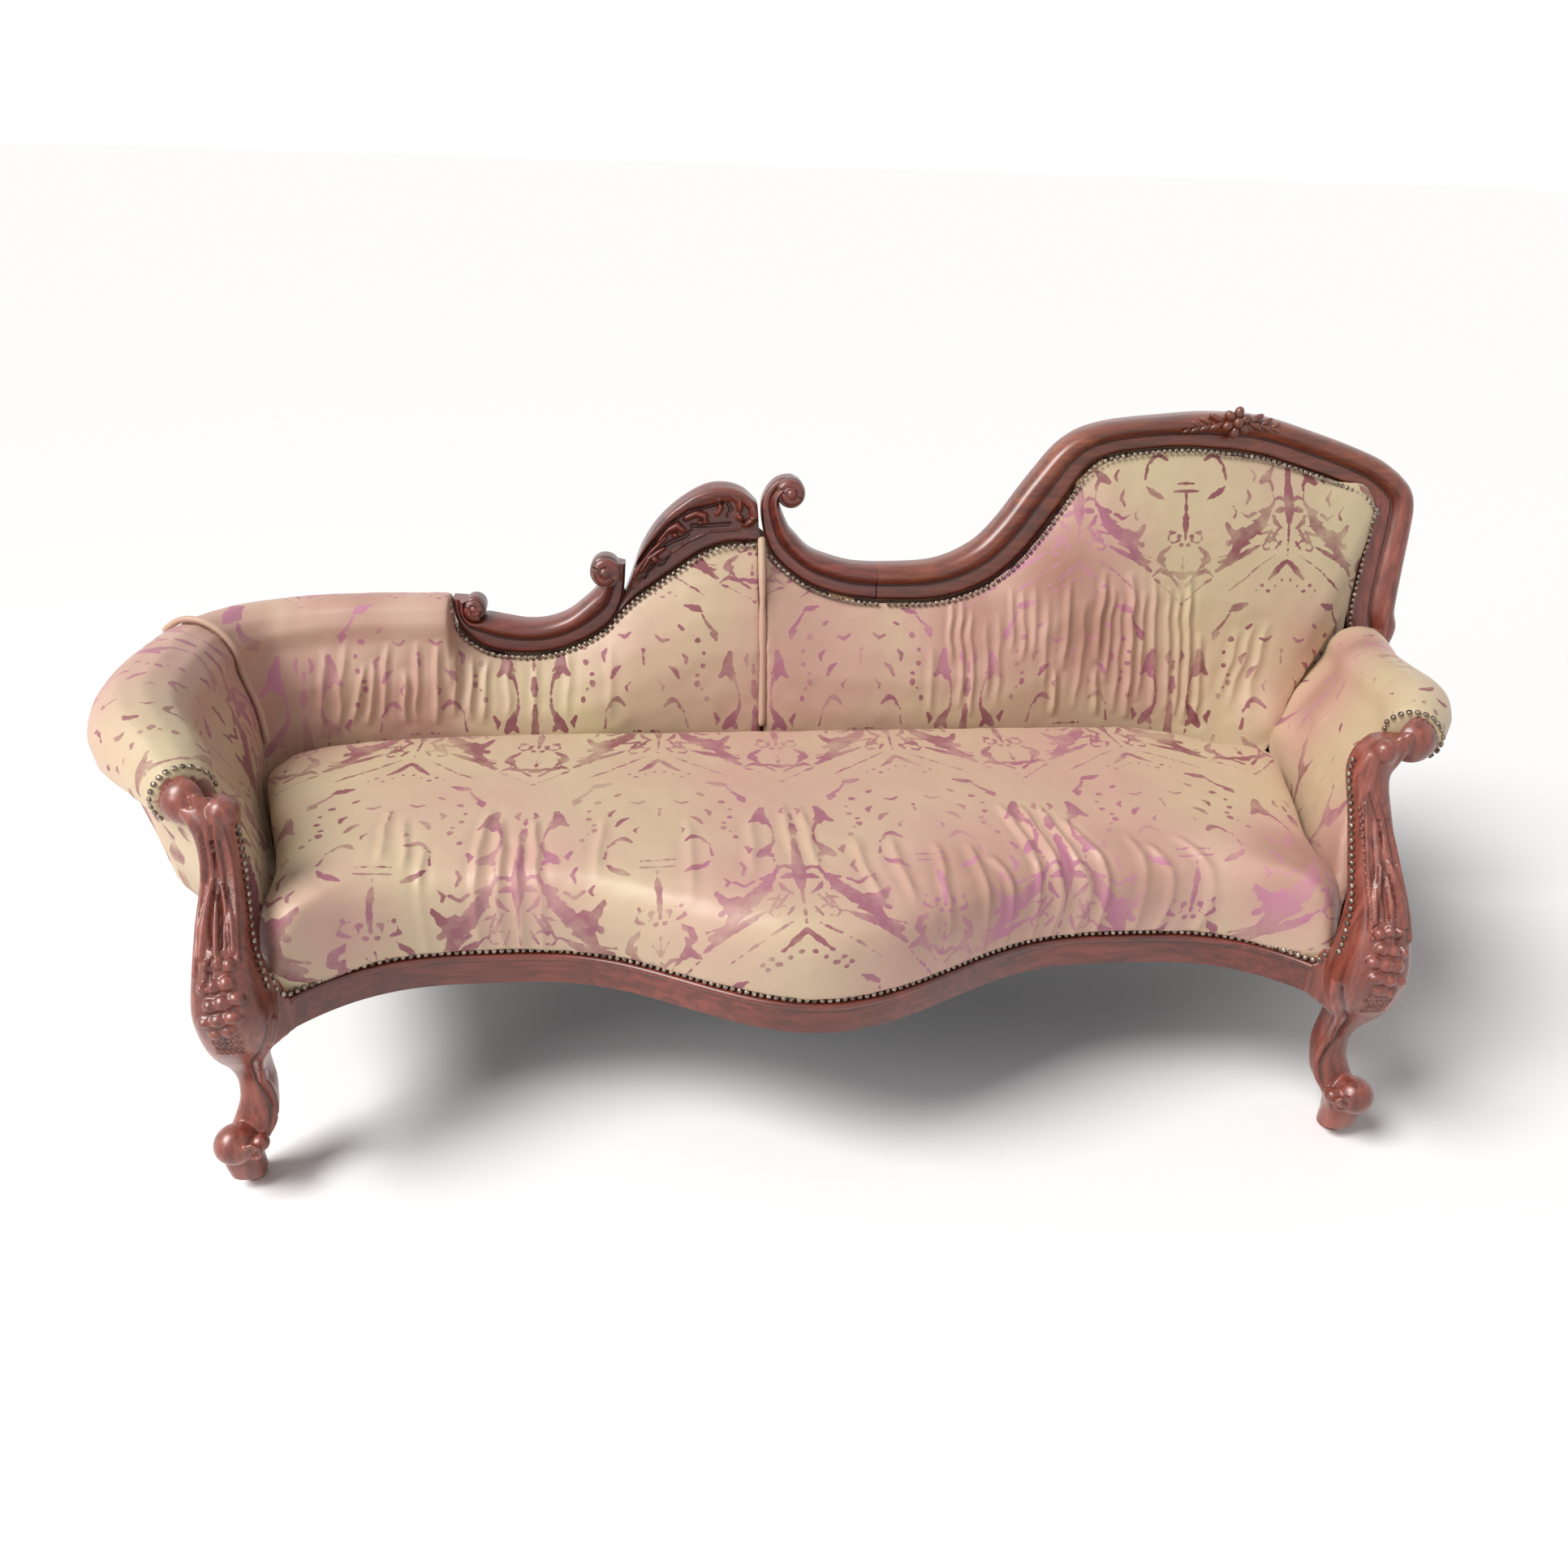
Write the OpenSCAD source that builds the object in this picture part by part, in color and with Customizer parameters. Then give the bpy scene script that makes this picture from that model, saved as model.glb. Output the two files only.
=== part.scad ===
// Chaise longue: a serpentine show-wood frame with cabriole front legs, a scrolled
// and carved back that rises to a high head end, and a sprung, upholstered seat.
// Millimetres. +X runs to the head end, +Y to the back, +Z up; the feet stand on Z = 0.

/* [Seat frame] */
// Half the length of the front rail, between the two front legs
seat_half_w = 713; // [680:1:750]
// Height of the underside of the seat rails above the floor
rail_bottom_z = 250; // [225:1:275]
// Visible height of the front rail
rail_show_h = 50; // [40:1:60]
// Height of the fabric rebate above the visible part of the front rail
rail_rebate_h = 30; // [22:1:36]
// Thickness of the seat rails
rail_t = 34; // [28:1:40]
// Distance that the front rail's recess stands forward of the part's own centre line
recess_y = 217; // [195:1:240]
// Distance that the middle of the front rail swells out of the recess
nose_out = 137; // [100:1:165]
// Distance that each end of the front rail curves forward to its leg
flare_out = 84; // [60:1:105]
// Distance of the rear seat rail's front face behind the centre line
rear_rail_y = 270; // [255:1:290]

/* [Front legs and arm posts] */
// Height of the left arm scroll's centre
arm_scroll_z = 553; // [520:1:585]
// Extra height of the arm scroll at the head end
head_arm_rise = 61; // [40:1:80]
// Radius of the arm scroll's ball
arm_scroll_r = 33; // [26:1:38]
// Distance of each arm scroll's centre outside the end of the front rail
arm_scroll_out = 114; // [102:1:130]
// Width of a front leg's block
block_w = 58; // [50:1:64]
// Depth of a front leg's block
block_d = 62; // [54:1:68]
// Radius of the scroll toe
toe_r = 29; // [24:1:33]

/* [Back] */
// Rake of the back from the vertical, in degrees
rake = 12; // [6:0.5:16]
// Height of the top of the head crest
head_z = 936; // [900:1:980]
// Height of the lowest point of the crest's top edge, between its scroll and the head
dip_z = 686; // [660:1:710]
// Distance of the head-end shoulder outside the end of the front rail
head_out = 398; // [370:1:425]
// Width of the crest moulding
crest_w = 62; // [54:1:70]
// Thickness of the crest moulding
crest_t = 46; // [38:1:54]

/* [Upholstery] */
// Height of the crown of the seat
seat_crown_z = 446; // [425:1:470]
// Distance of the left arm's outermost fabric outside the end of the front rail
foot_out = 313; // [290:1:335]
// Radius of the roll on the left arm where it is fattest
arm_roll_r = 74; // [60:1:84]
// Forward swell of the back's padding
back_swell = 34; // [18:1:45]
// Radius of the piping
piping_r = 3.5; // [2.5:0.1:5]

/* [Springs] */
// Number of springs along the seat
spring_cols = 8; // [5:1:9]
// Largest radius of a spring
spring_r = 40; // [30:1:46]

/* [Hidden] */

// Colours
mahogany = [0.48, 0.22, 0.15];
beech = [0.78, 0.63, 0.45];
damask = [0.68, 0.60, 0.44];
jute = [0.62, 0.52, 0.36];
steel = [0.45, 0.46, 0.48];
black_cloth = [0.2, 0.18, 0.17];

// Clearances
seat_gap = 0.3;
fit_gap = 0.05;
seat_clear = 1.5;

// Places along the length that follow the front rail
arm_scroll_x = seat_half_w + arm_scroll_out;
head_x = seat_half_w + head_out;
foot_reach = seat_half_w + foot_out;

// Heights that the seat rails give
rail_h = rail_show_h + rail_rebate_h;
rail_show_z = rail_bottom_z + rail_show_h;
rail_top_z = rail_bottom_z + rail_h;

// Sets a piece in the part's frame
module place() {
    translate([-centre_x, -centre_y, 0]) children();
}

// Mirrors a left-hand piece to the head end, or leaves it
module hand(side) {
    if (side > 0) mirror([1, 0, 0]) children();
    else children();
}

// Curve through points of any size, by Catmull and Rom's rule, with so many steps a span
function pick(p, i) = p[max(0, min(len(p) - 1, i))];
function spline_at(p, i, t) =
    let (a = pick(p, i - 1), b = pick(p, i), c = pick(p, i + 1), d = pick(p, i + 2))
    (2 * b + (c - a) * t + (2 * a - 5 * b + 4 * c - d) * t * t
     + (3 * b - a - 3 * c + d) * t * t * t) / 2;
function spline(p, steps) = [
    for (i = [0 : len(p) - 2]) for (k = [0 : steps - 1]) spline_at(p, i, k / steps),
    p[len(p) - 1]
];
function unit_2d(v) = v / norm(v);
function flip(ring) = [for (i = [len(ring) - 1 : -1 : 0]) ring[i]];

// Solid skin over rings of points: each ring has as many points, and the ends are closed. Where an
// end isn't flat, its faces are given, by their places along the ring. The sides named as turned
// are cut along their other diagonal, so that both faces of a thin wall bend alike
module skin(rings, end_faces = [], turned = []) {
    n = len(rings[0]);
    m = len(rings);
    points = [for (ring = rings) for (p = ring) p];
    sides = [for (i = [0 : m - 2]) for (j = [0 : n - 1])
        let (a = i * n + j, b = i * n + (j + 1) % n, c = a + n, d = b + n)
        each len(search(j, turned)) > 0 ? [[a, b, c], [b, d, c]] : [[a, b, d], [a, d, c]]];
    ends = len(end_faces) > 0 ? end_faces : [[for (j = [0 : n - 1]) j]];
    first = [for (e = ends) flip(e)];
    last = [for (e = ends) [for (j = e) (m - 1) * n + j]];
    polyhedron(points, concat(sides, first, last), convexity = 10);
}

// Front rail: its plan is a raised cosine in the middle and a cubic flare at each end
nose_share = 0.603;
flare_start_share = 0.645;
nose_power = 1.25;
flare_power = 3;
function nose(x) = abs(x) >= seat_half_w * nose_share ? 0
    : pow((1 + cos(180 * x / (seat_half_w * nose_share))) / 2, nose_power);
function flare(x) = let (s = (abs(x) / seat_half_w - flare_start_share) / (1 - flare_start_share))
    s <= 0 ? 0 : pow(s, flare_power);
function rail_front(x) = -(recess_y + nose_out * nose(x) + flare_out * flare(x));
rail_steps = 56;
rail_xs = [for (i = [0 : rail_steps]) seat_half_w * (2 * i / rail_steps - 1)];
bead_h = 7;
bead_out = 3;
bead_drop = 1.5;
rebate_in = 9;

module rail_band(front_in, back_in) {
    polygon(concat([for (x = rail_xs) [x, rail_front(x) + front_in]],
                   [for (i = [rail_steps : -1 : 0]) [rail_xs[i], rail_front(rail_xs[i]) + back_in]]));
}

// Front leg block, behind the knee: the square part that the rails are jointed into
block_x = seat_half_w;
block_step = 22;
block_front = recess_y + flare_out + block_step;
block_back = block_front - block_d;

// Rear legs, and the plan of the side rails that run to them from the front leg blocks
rear_leg_w = 46;
rear_left_in = 121;
rear_right_in = 71;
rear_left_x = foot_reach - rear_left_in;
rear_right_x = head_x - rear_right_in;
rear_leg_back = rear_rail_y + rail_t;
function side_rail_plan(rear_x) = [
    [block_x + block_w - rail_t, -block_back],
    [block_x + block_w, -block_back],
    [rear_x, rear_leg_back - rear_leg_w],
    [rear_x - rail_t, rear_leg_back - rear_leg_w]
];

// Dowels: two at each end of the front rail and at the front of each side rail, along the rail
dowel_r = 5;
dowel_l = 60;
dowel_rise_shares = [0.28, 0.72];
dowel_in_share = 0.6;
dowel_zs = [for (s = dowel_rise_shares) rail_bottom_z + rail_h * s];
front_dowel_y = rail_front(seat_half_w) + rail_t * dowel_in_share;
front_dowel_turn = atan(2 * (rail_front(seat_half_w - dowel_l / 2) - rail_front(seat_half_w)) / dowel_l);
module dowel_rod(x, y, turn, r) {
    for (z = dowel_zs) translate([x, y, z]) rotate([90, 0, turn])
        cylinder(h = dowel_l, r = r, center = true, $fn = 32);
}
// Left-hand rods: one pair for the front rail, one for the side rail
module front_dowel_rods(r) {
    dowel_rod(-block_x, front_dowel_y, front_dowel_turn - 90, r);
}
module side_dowel_rods(rear_x, r) {
    plan = side_rail_plan(rear_x);
    run = plan[2] - plan[1];
    dowel_rod(-(plan[0][0] + plan[1][0]) / 2, -block_back, atan2(run[0], run[1]), r);
}

module front_rail() {
    color(mahogany) place() difference() {
        union() {
            translate([0, 0, rail_bottom_z]) linear_extrude(rail_h) rail_band(rebate_in, rail_t);
            translate([0, 0, rail_bottom_z]) linear_extrude(rail_show_h) rail_band(0, rail_t);
            translate([0, 0, rail_show_z - bead_h - bead_drop]) linear_extrude(bead_h)
                rail_band(-bead_out, rail_t);
        }
        for (side = [-1, 1]) hand(side) front_dowel_rods(dowel_r);
    }
}

module side_rail(side, rear_x) {
    color(beech) place() hand(side) difference() {
        mirror([1, 0, 0]) translate([0, 0, rail_bottom_z]) linear_extrude(rail_h)
            polygon(side_rail_plan(rear_x));
        side_dowel_rods(rear_x, dowel_r);
    }
}
module rail_left() { side_rail(-1, rear_left_x); }
module rail_right() { side_rail(1, rear_right_x); }

// Rear rail, between the rear legs
module rail_rear() {
    color(beech) place() difference() {
        translate([-rear_left_x + rear_leg_w, rear_rail_y, rail_bottom_z])
            cube([rear_left_x + rear_right_x - 2 * rear_leg_w, rail_t, rail_h]);
        corner_screw_rods(screw_r);
    }
}

// Cross braces, from the back of the front rail to the rear rail
brace_w = 44;
brace_x_shares = [-0.36, 0.36];
brace_drop = 14;
brace_steps = 5;
module seat_braces() {
    color(beech) place() for (s = brace_x_shares) {
        x = s * seat_half_w;
        xs = [for (i = [0 : brace_steps]) x + brace_w * (i / brace_steps - 0.5)];
        translate([0, 0, rail_bottom_z]) linear_extrude(rail_h - brace_drop) polygon(concat(
            [for (x_i = xs) [x_i, rail_front(x_i) + rail_t + seat_gap]],
            [[x + brace_w / 2, rear_rail_y], [x - brace_w / 2, rear_rail_y]]));
    }
}

// Corner blocks, screwed in the four inner corners of the seat frame
corner_leg = 90;
corner_h = 48;
screw_r = 2.4;
screw_l = 46;
function side_inner_x(rear_x, y) = let (p = side_rail_plan(rear_x))
    p[0][0] + (p[3][0] - p[0][0]) * (y - p[0][1]) / (p[3][1] - p[0][1]);
module rear_corner_plan(rear_x) {
    polygon([
        [rear_x - rear_leg_w, rear_rail_y],
        [rear_x - rear_leg_w - corner_leg, rear_rail_y],
        [side_inner_x(rear_x, rear_leg_back - rear_leg_w - corner_leg),
         rear_leg_back - rear_leg_w - corner_leg],
        [side_inner_x(rear_x, rear_leg_back - rear_leg_w), rear_leg_back - rear_leg_w],
        [rear_x - rear_leg_w, rear_leg_back - rear_leg_w]
    ]);
}
front_corner_steps = 6;
front_corner_share = 0.86;
front_corner_x = seat_half_w * front_corner_share;
front_corner_d = 62;
front_corner_y = front_corner_d - block_back;
module front_corner_plan(rear_x) {
    xs = [for (i = [0 : front_corner_steps])
        front_corner_x + (block_x - front_corner_x) * i / front_corner_steps];
    polygon(concat([for (x = xs) [x, rail_front(x) + rail_t + seat_gap]],
                   [[block_x, -block_back], [block_x + block_w - rail_t, -block_back],
                    [side_inner_x(rear_x, front_corner_y), front_corner_y]]));
}
// Left-hand screw, through the rear block into the rear rail
module corner_screw_rod(rear_x, r) {
    translate([-(rear_x - rear_leg_w - corner_leg / 2), rear_rail_y, rail_bottom_z + corner_h / 2])
        rotate([90, 0, 0]) translate([0, 0, -rail_t / 2]) cylinder(h = screw_l, r = r, $fn = 24);
}
module corner_screw_rods(r) {
    corner_screw_rod(rear_left_x, r);
    mirror([1, 0, 0]) corner_screw_rod(rear_right_x, r);
}
module corner_pair(rear_x) {
    mirror([1, 0, 0]) translate([0, 0, rail_bottom_z]) linear_extrude(corner_h) {
        rear_corner_plan(rear_x);
        front_corner_plan(rear_x);
    }
}
module corner_blocks() {
    color(beech) place() difference() {
        union() {
            corner_pair(rear_left_x);
            mirror([1, 0, 0]) corner_pair(rear_right_x);
        }
        corner_screw_rods(screw_r);
    }
}

// Front leg and arm post in one piece, a skin over knots up its height.
// Below the knee: shares of the knee's height, and of the block's width for the centre and half sizes
knee_rise_share = 1.6;
knee_z = rail_bottom_z + rail_show_h * knee_rise_share;
leg_low_shares = [
    [0.155, 1.62, 0.05, 0.440, 0.379],
    [0.235, 1.52, -0.10, 0.500, 0.400],
    [0.30, 1.33, -0.35, 0.500, 0.420],
    [0.39, 1.22, -0.55, 0.420, 0.400],
    [0.455, 1.20, -0.62, 0.400, 0.400],
    [0.52, 1.21, -0.60, 0.390, 0.400],
    [0.60, 1.22, -0.45, 0.440, 0.440],
    [0.70, 1.20, -0.15, 0.570, 0.550],
    [0.80, 1.07, 0.08, 0.720, 0.690],
    [0.91, 1.00, 0.22, 0.800, 0.790],
    [1.00, 0.99, 0.259, 0.800, 0.828]
];
// Above it: shares of the way up, out and back to the arm scroll, then half sizes as before. The
// head end's post is the taller one, and leans in more
post_left_shares = [
    [0.13, 0.046, 0.062, 0.724, 0.760],
    [0.28, 0.108, 0.192, 0.612, 0.690],
    [0.42, 0.152, 0.377, 0.543, 0.620],
    [0.55, 0.187, 0.560, 0.483, 0.560],
    [0.68, 0.214, 0.690, 0.440, 0.500],
    [0.84, 0.280, 0.780, 0.448, 0.470],
    [0.95, 0.400, 0.838, 0.517, 0.466],
    [1.02, 0.576, 0.900, 0.517, 0.431]
];
post_right_shares = [
    [0.13, 0.046, 0.062, 0.724, 0.760],
    [0.28, 0.072, 0.192, 0.612, 0.690],
    [0.42, 0.046, 0.377, 0.543, 0.620],
    [0.55, 0.028, 0.560, 0.483, 0.560],
    [0.68, 0.019, 0.746, 0.440, 0.520],
    [0.84, -0.042, 0.900, 0.448, 0.470],
    [0.95, 0.117, 0.920, 0.517, 0.466],
    [1.02, 0.435, 0.940, 0.517, 0.431]
];
leg_points = 20;
leg_steps = 3;
// Flutes up the post: depth as a share of the section, growing from the knee
flute_depth_share = 0.10;
flute_rise_share = 0.33;
flute_count = 3;
section_power = 3;
// Places of the scroll, the toe and the foot, as shares of the block's width
scroll_back_share = 1.983;
toe_out_share = 1.638;
toe_front_share = 0.328;
foot_out_share = 1.603;
foot_back_share = 0.224;
foot_r = 18;
foot_h = 62;
toe_rise = 24;
arm_scroll_y = block_front - block_w * scroll_back_share;
lobe_r_share = 0.55;
lobe_in_share = 0.9;
lobe_front_share = 0.45;
lobe_drop_share = 0.1;
knee_out = block_w * leg_low_shares[10][1];
knee_y = block_front + block_w * leg_low_shares[10][2];
function leg_knots(post_shares, top_z) = concat(
    [for (k = leg_low_shares)
        [k[0] * knee_z, block_w * k[1], block_front + block_w * k[2], block_w * k[3], block_w * k[4]]],
    [for (k = post_shares)
        [knee_z + k[0] * (top_z - knee_z), knee_out + k[1] * (arm_scroll_out - knee_out),
         knee_y + k[2] * (arm_scroll_y - knee_y), block_w * k[3], block_w * k[4]]]);
function leg_flute(a, z, top_z) =
    let (up = min(1, max(0, (z - knee_z) / (top_z - knee_z) / flute_rise_share)))
    1 - flute_depth_share * up * (1 + cos(a * flute_count * 2)) / 2;
function leg_ring(k, top_z) = [for (i = [0 : leg_points - 1])
    let (a = 360 * i / leg_points, c = cos(a), s = sin(a),
         q = pow(pow(abs(c), section_power) + pow(abs(s), section_power), 1 / section_power),
         f = leg_flute(a, k[0], top_z))
    [-(seat_half_w + k[1] + k[3] * c / q * f), -k[2] + k[4] * s / q * f, k[0]]];

// The upholstered arm butts against the back of the scroll, on an upright plane
arm_turn = 32;
arm_start = 6;
module arm_end_cut(top_z) {
    translate([-arm_scroll_x - arm_start * tan(arm_turn), -arm_scroll_y + arm_start, top_z])
        rotate([0, 0, arm_turn]) translate([-2 * arm_scroll_r, -seat_gap, -2 * arm_scroll_r])
            cube(4 * arm_scroll_r);
}

module leg_front(side, post_shares, top_z, rear_x) {
    color(mahogany) place() hand(side) difference() {
        union() {
            skin([for (k = spline(leg_knots(post_shares, top_z), leg_steps)) leg_ring(k, top_z)]);
            translate([-seat_half_w - block_w * foot_out_share, -block_front + block_w * foot_back_share, 0])
                cylinder(h = foot_h, r = foot_r, $fn = 40);
            translate([-seat_half_w - block_w * toe_out_share, -block_front - block_w * toe_front_share,
                       foot_h + toe_rise])
                sphere(r = toe_r, $fn = 40);
            difference() {
                translate([-arm_scroll_x, -arm_scroll_y, top_z]) sphere(r = arm_scroll_r, $fn = 48);
                arm_end_cut(top_z);
            }
            translate([-arm_scroll_x + block_w * lobe_in_share, -arm_scroll_y - block_w * lobe_front_share,
                       top_z - block_w * lobe_drop_share])
                sphere(r = arm_scroll_r * lobe_r_share, $fn = 32);
            translate([-block_x - block_w, -block_front, rail_bottom_z])
                cube([block_w, block_d, rail_h]);
        }
        front_dowel_rods(dowel_r);
        side_dowel_rods(rear_x, dowel_r);
    }
}
module leg_front_left() { leg_front(-1, post_left_shares, arm_scroll_z, rear_left_x); }
module leg_front_right() {
    leg_front(1, post_right_shares, arm_scroll_z + head_arm_rise, rear_right_x);
}

// Rear legs: square, tapered and raked to the back, as the hidden legs of such a seat are
rear_foot_w = 34;
rear_foot_rake = 46;
module leg_rear(side, outer_x) {
    top = [[outer_x - rear_leg_w, rear_leg_back - rear_leg_w], [outer_x, rear_leg_back - rear_leg_w],
           [outer_x, rear_leg_back], [outer_x - rear_leg_w, rear_leg_back]];
    foot_back = rear_leg_back + rear_foot_rake;
    foot_in = outer_x - (rear_leg_w + rear_foot_w) / 2;
    foot = [[foot_in, foot_back - rear_foot_w], [foot_in + rear_foot_w, foot_back - rear_foot_w],
            [foot_in + rear_foot_w, foot_back], [foot_in, foot_back]];
    color(mahogany) place() hand(side) mirror([1, 0, 0]) skin([
        [for (p = flip(foot)) [p[0], p[1], 0]],
        [for (p = flip(top)) [p[0], p[1], rail_bottom_z]],
        [for (p = flip(top)) [p[0], p[1], rail_top_z]]
    ]);
}
module leg_rear_left() { leg_rear(-1, rear_left_x); }
module leg_rear_right() { leg_rear(1, rear_right_x); }

// The show-wood of the back lies on a raked plane; a depth is counted forward from it
back_set = 20;
back_set_z = 430;
function back_y(z) = rear_rail_y + back_set + (z - back_set_z) * tan(rake);
function on_back(x, z, depth) = [x, back_y(z) - depth, z];

// Moulding section: [share of the width from the outer edge, share of the thickness from the back]
crest_section_shares = [
    [0, 0.30], [0, 0.62], [0.08, 0.86], [0.22, 1.00], [0.38, 0.94], [0.48, 0.72],
    [0.58, 0.64], [0.80, 0.70], [0.94, 0.64], [1, 0.50], [1, 0], [0.04, 0]
];
crest_back = 30;
// The whole part moves by these two, so that its origin is under the middle of its box
centre_x = (head_x - foot_reach) / 2;
centre_y = (back_y(head_z) + crest_back - knee_y - block_w * leg_low_shares[10][4]) / 2;
// A ring of the moulding between its outer edge and its inner edge, given as [x, z, x, z]
function crest_ring(e) = [for (s = crest_section_shares)
    on_back(e[0] + (e[2] - e[0]) * s[0], e[1] + (e[3] - e[1]) * s[0], s[1] * crest_t - crest_back)];
module crest_loft(edges) {
    skin([for (e = edges) flip(crest_ring(e))]);
}
// A scroll's eye: a drum that stands out in front of the moulding
module crest_eye(x, z, r, stand) {
    translate(on_back(x, z, crest_t - crest_back + stand)) rotate([-90 - rake, 0, 0]) {
        cylinder(h = crest_t * eye_depth_share + stand, r = r, $fn = 40);
        sphere(r = r * eye_dome_share, $fn = 28);
    }
}
eye_dome_share = 0.55;
eye_depth_share = 0.6;
eye_stand = 4;

// Edges of each crest piece, as shares of its width and height: [outer x, outer z, inner x, inner z]
function edges_from(shares, x0, z0, w, h) = [for (s = shares)
    [x0 + s[0] * w, z0 + s[1] * h, x0 + s[2] * w, z0 + s[3] * h]];
crest_steps = 3;

// Low C-scroll at the foot end
low_scroll_x_share = 0.785;
low_scroll_end_share = 0.377;
low_scroll_x = seat_half_w * low_scroll_x_share;
low_scroll_end = seat_half_w * low_scroll_end_share;
low_scroll_z = 541;
low_scroll_h = 163;
low_scroll_shares = [
    [0.086, 0.61, 0.00, 0.62], [0.075, 0.45, 0.00, 0.44], [0.113, 0.37, 0.04, 0.25],
    [0.188, 0.39, 0.137, 0.10], [0.29, 0.36, 0.24, 0.025], [0.41, 0.325, 0.41, 0.00],
    [0.53, 0.337, 0.56, 0.025], [0.65, 0.41, 0.71, 0.11], [0.757, 0.55, 0.83, 0.22],
    [0.83, 0.68, 0.91, 0.34], [0.85, 0.80, 0.97, 0.57], [0.87, 0.95, 0.99, 0.90]
];
low_scroll_w = low_scroll_x - low_scroll_end;
low_edges = spline(edges_from(low_scroll_shares, -low_scroll_x, low_scroll_z, low_scroll_w, low_scroll_h),
                   crest_steps);
low_eye_shares = [0.12, 0.49];
low_eye_r = 23;
high_eye_shares = [0.875, 0.84];
high_eye_r = 25;
module scroll_left() {
    color(mahogany) place() {
        crest_loft(low_edges);
        crest_eye(-low_scroll_x + low_eye_shares[0] * low_scroll_w,
                  low_scroll_z + low_eye_shares[1] * low_scroll_h, low_eye_r, eye_stand);
        crest_eye(-low_scroll_x + high_eye_shares[0] * low_scroll_w,
                  low_scroll_z + high_eye_shares[1] * low_scroll_h, high_eye_r, eye_stand);
    }
}

// Carved crest, rising from the low scroll to the tall one
carved_x_share = 0.4095;
carved_end_share = 0.0603;
carved_x = seat_half_w * carved_x_share;
carved_end = seat_half_w * carved_end_share;
carved_z = 600;
carved_rise = 132;
carved_h = dip_z + carved_rise - carved_z;
carved_shares = [
    [0.13, 0.345, 0.01, 0.01], [0.19, 0.53, 0.125, 0.138], [0.294, 0.711, 0.262, 0.248],
    [0.444, 0.867, 0.429, 0.376], [0.619, 0.977, 0.583, 0.486], [0.762, 0.995, 0.742, 0.555],
    [0.88, 0.954, 0.881, 0.569], [0.97, 0.862, 0.99, 0.569]
];
carved_w = carved_x - carved_end;
carved_edges = spline(edges_from(carved_shares, -carved_x, carved_z, carved_w, carved_h), crest_steps);
module crest_carved() {
    color(mahogany) place() crest_loft(carved_edges);
}

// Tall scroll, down to its butt joint with the head rail
joint_x_share = 0.2174;
joint_x = seat_half_w * joint_x_share;
tall_scroll_x = carved_end;
tall_scroll_rise = 142;
tall_shares = [
    [0.247, 0.80, 0.36, 0.86], [0.237, 0.86, 0.268, 1.00], [0.187, 0.845, 0.106, 0.944],
    [0.152, 0.732, 0.00, 0.704], [0.227, 0.465, 0.025, 0.345], [0.298, 0.345, 0.116, 0.077],
    [0.419, 0.183, 0.354, -0.183], [0.581, 0.092, 0.566, -0.31], [0.783, 0.021, 0.778, -0.38],
    [1.00, 0.00, 1.00, -0.415]
];
tall_w = joint_x + tall_scroll_x;
tall_edges = spline(edges_from(tall_shares, -tall_scroll_x, dip_z, tall_w, tall_scroll_rise), crest_steps);
tall_eye_shares = [0.247, 0.845];
tall_eye_r = 22;
module scroll_tall() {
    color(mahogany) place() {
        crest_loft(tall_edges);
        crest_eye(-tall_scroll_x + tall_eye_shares[0] * tall_w, dip_z + tall_eye_shares[1] * tall_scroll_rise,
                  tall_eye_r, eye_stand);
    }
}

// Head rail, from the butt joint over the head: outer edge and width as shares
head_shares = [
    [0.00, 0.00, 0.95], [0.10, 0.02, 1.02], [0.168, 0.12, 1.10], [0.215, 0.28, 1.15],
    [0.271, 0.56, 1.15], [0.33, 0.81, 1.00], [0.40, 0.925, 0.86], [0.52, 0.98, 0.84],
    [0.607, 1.00, 0.95], [0.70, 0.975, 1.00], [0.798, 0.876, 1.00], [0.87, 0.79, 1.00],
    [0.925, 0.71, 1.05], [0.962, 0.624, 1.10]
];
head_w = head_x - joint_x;
head_rise = head_z - dip_z;
// The inner edge lies a width away, square to the outer edge
function band_edges(line) = [for (i = [0 : len(line) - 1])
    let (p = line[i], a = pick(line, i - 1), b = pick(line, i + 1), t = unit_2d([b[0] - a[0], b[1] - a[1]]))
    [p[0], p[1], p[0] + t[1] * p[2], p[1] - t[0] * p[2]]];
function head_knot(s) = [joint_x + s[0] * head_w, dip_z + s[1] * head_rise, s[2] * crest_w];
head_line = spline([for (s = head_shares) head_knot(s)], crest_steps);
head_edges = band_edges(head_line);

// Flower at the top of the head crest: a berry in a ring of petals, between two leaves
flower_share = 0.635;
flower_r = 9;
petal_r = 7.5;
petal_ring = 13;
petals = 6;
leaf_pitch = 13;
leaf_fall = 1.5;
leaf_shares = [1.0, 0.8, 0.6];
flower_drop_share = 0.24;
flower_x = joint_x + head_w * flower_share;
flower_z = head_z - crest_w * flower_drop_share;
flower_sink = 1;
flower_depth = crest_t - crest_back - flower_sink;
module crest_flower_form() {
    translate(on_back(flower_x, flower_z, flower_depth)) rotate([-rake, 0, 0]) {
        sphere(r = flower_r, $fn = 24);
        for (i = [0 : petals - 1]) rotate([0, 360 * i / petals, 0]) translate([petal_ring, 0, 0])
            sphere(r = petal_r, $fn = 20);
        for (side = [-1, 1]) for (i = [0 : len(leaf_shares) - 1])
            translate([side * (petal_ring + petal_r + leaf_pitch * (i + 0.5)), 0, -i * leaf_fall])
                sphere(r = petal_r * leaf_shares[i], $fn = 20);
    }
}
module crest_rail() {
    color(mahogany) place() {
        crest_loft(head_edges);
        crest_flower_form();
    }
}

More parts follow.
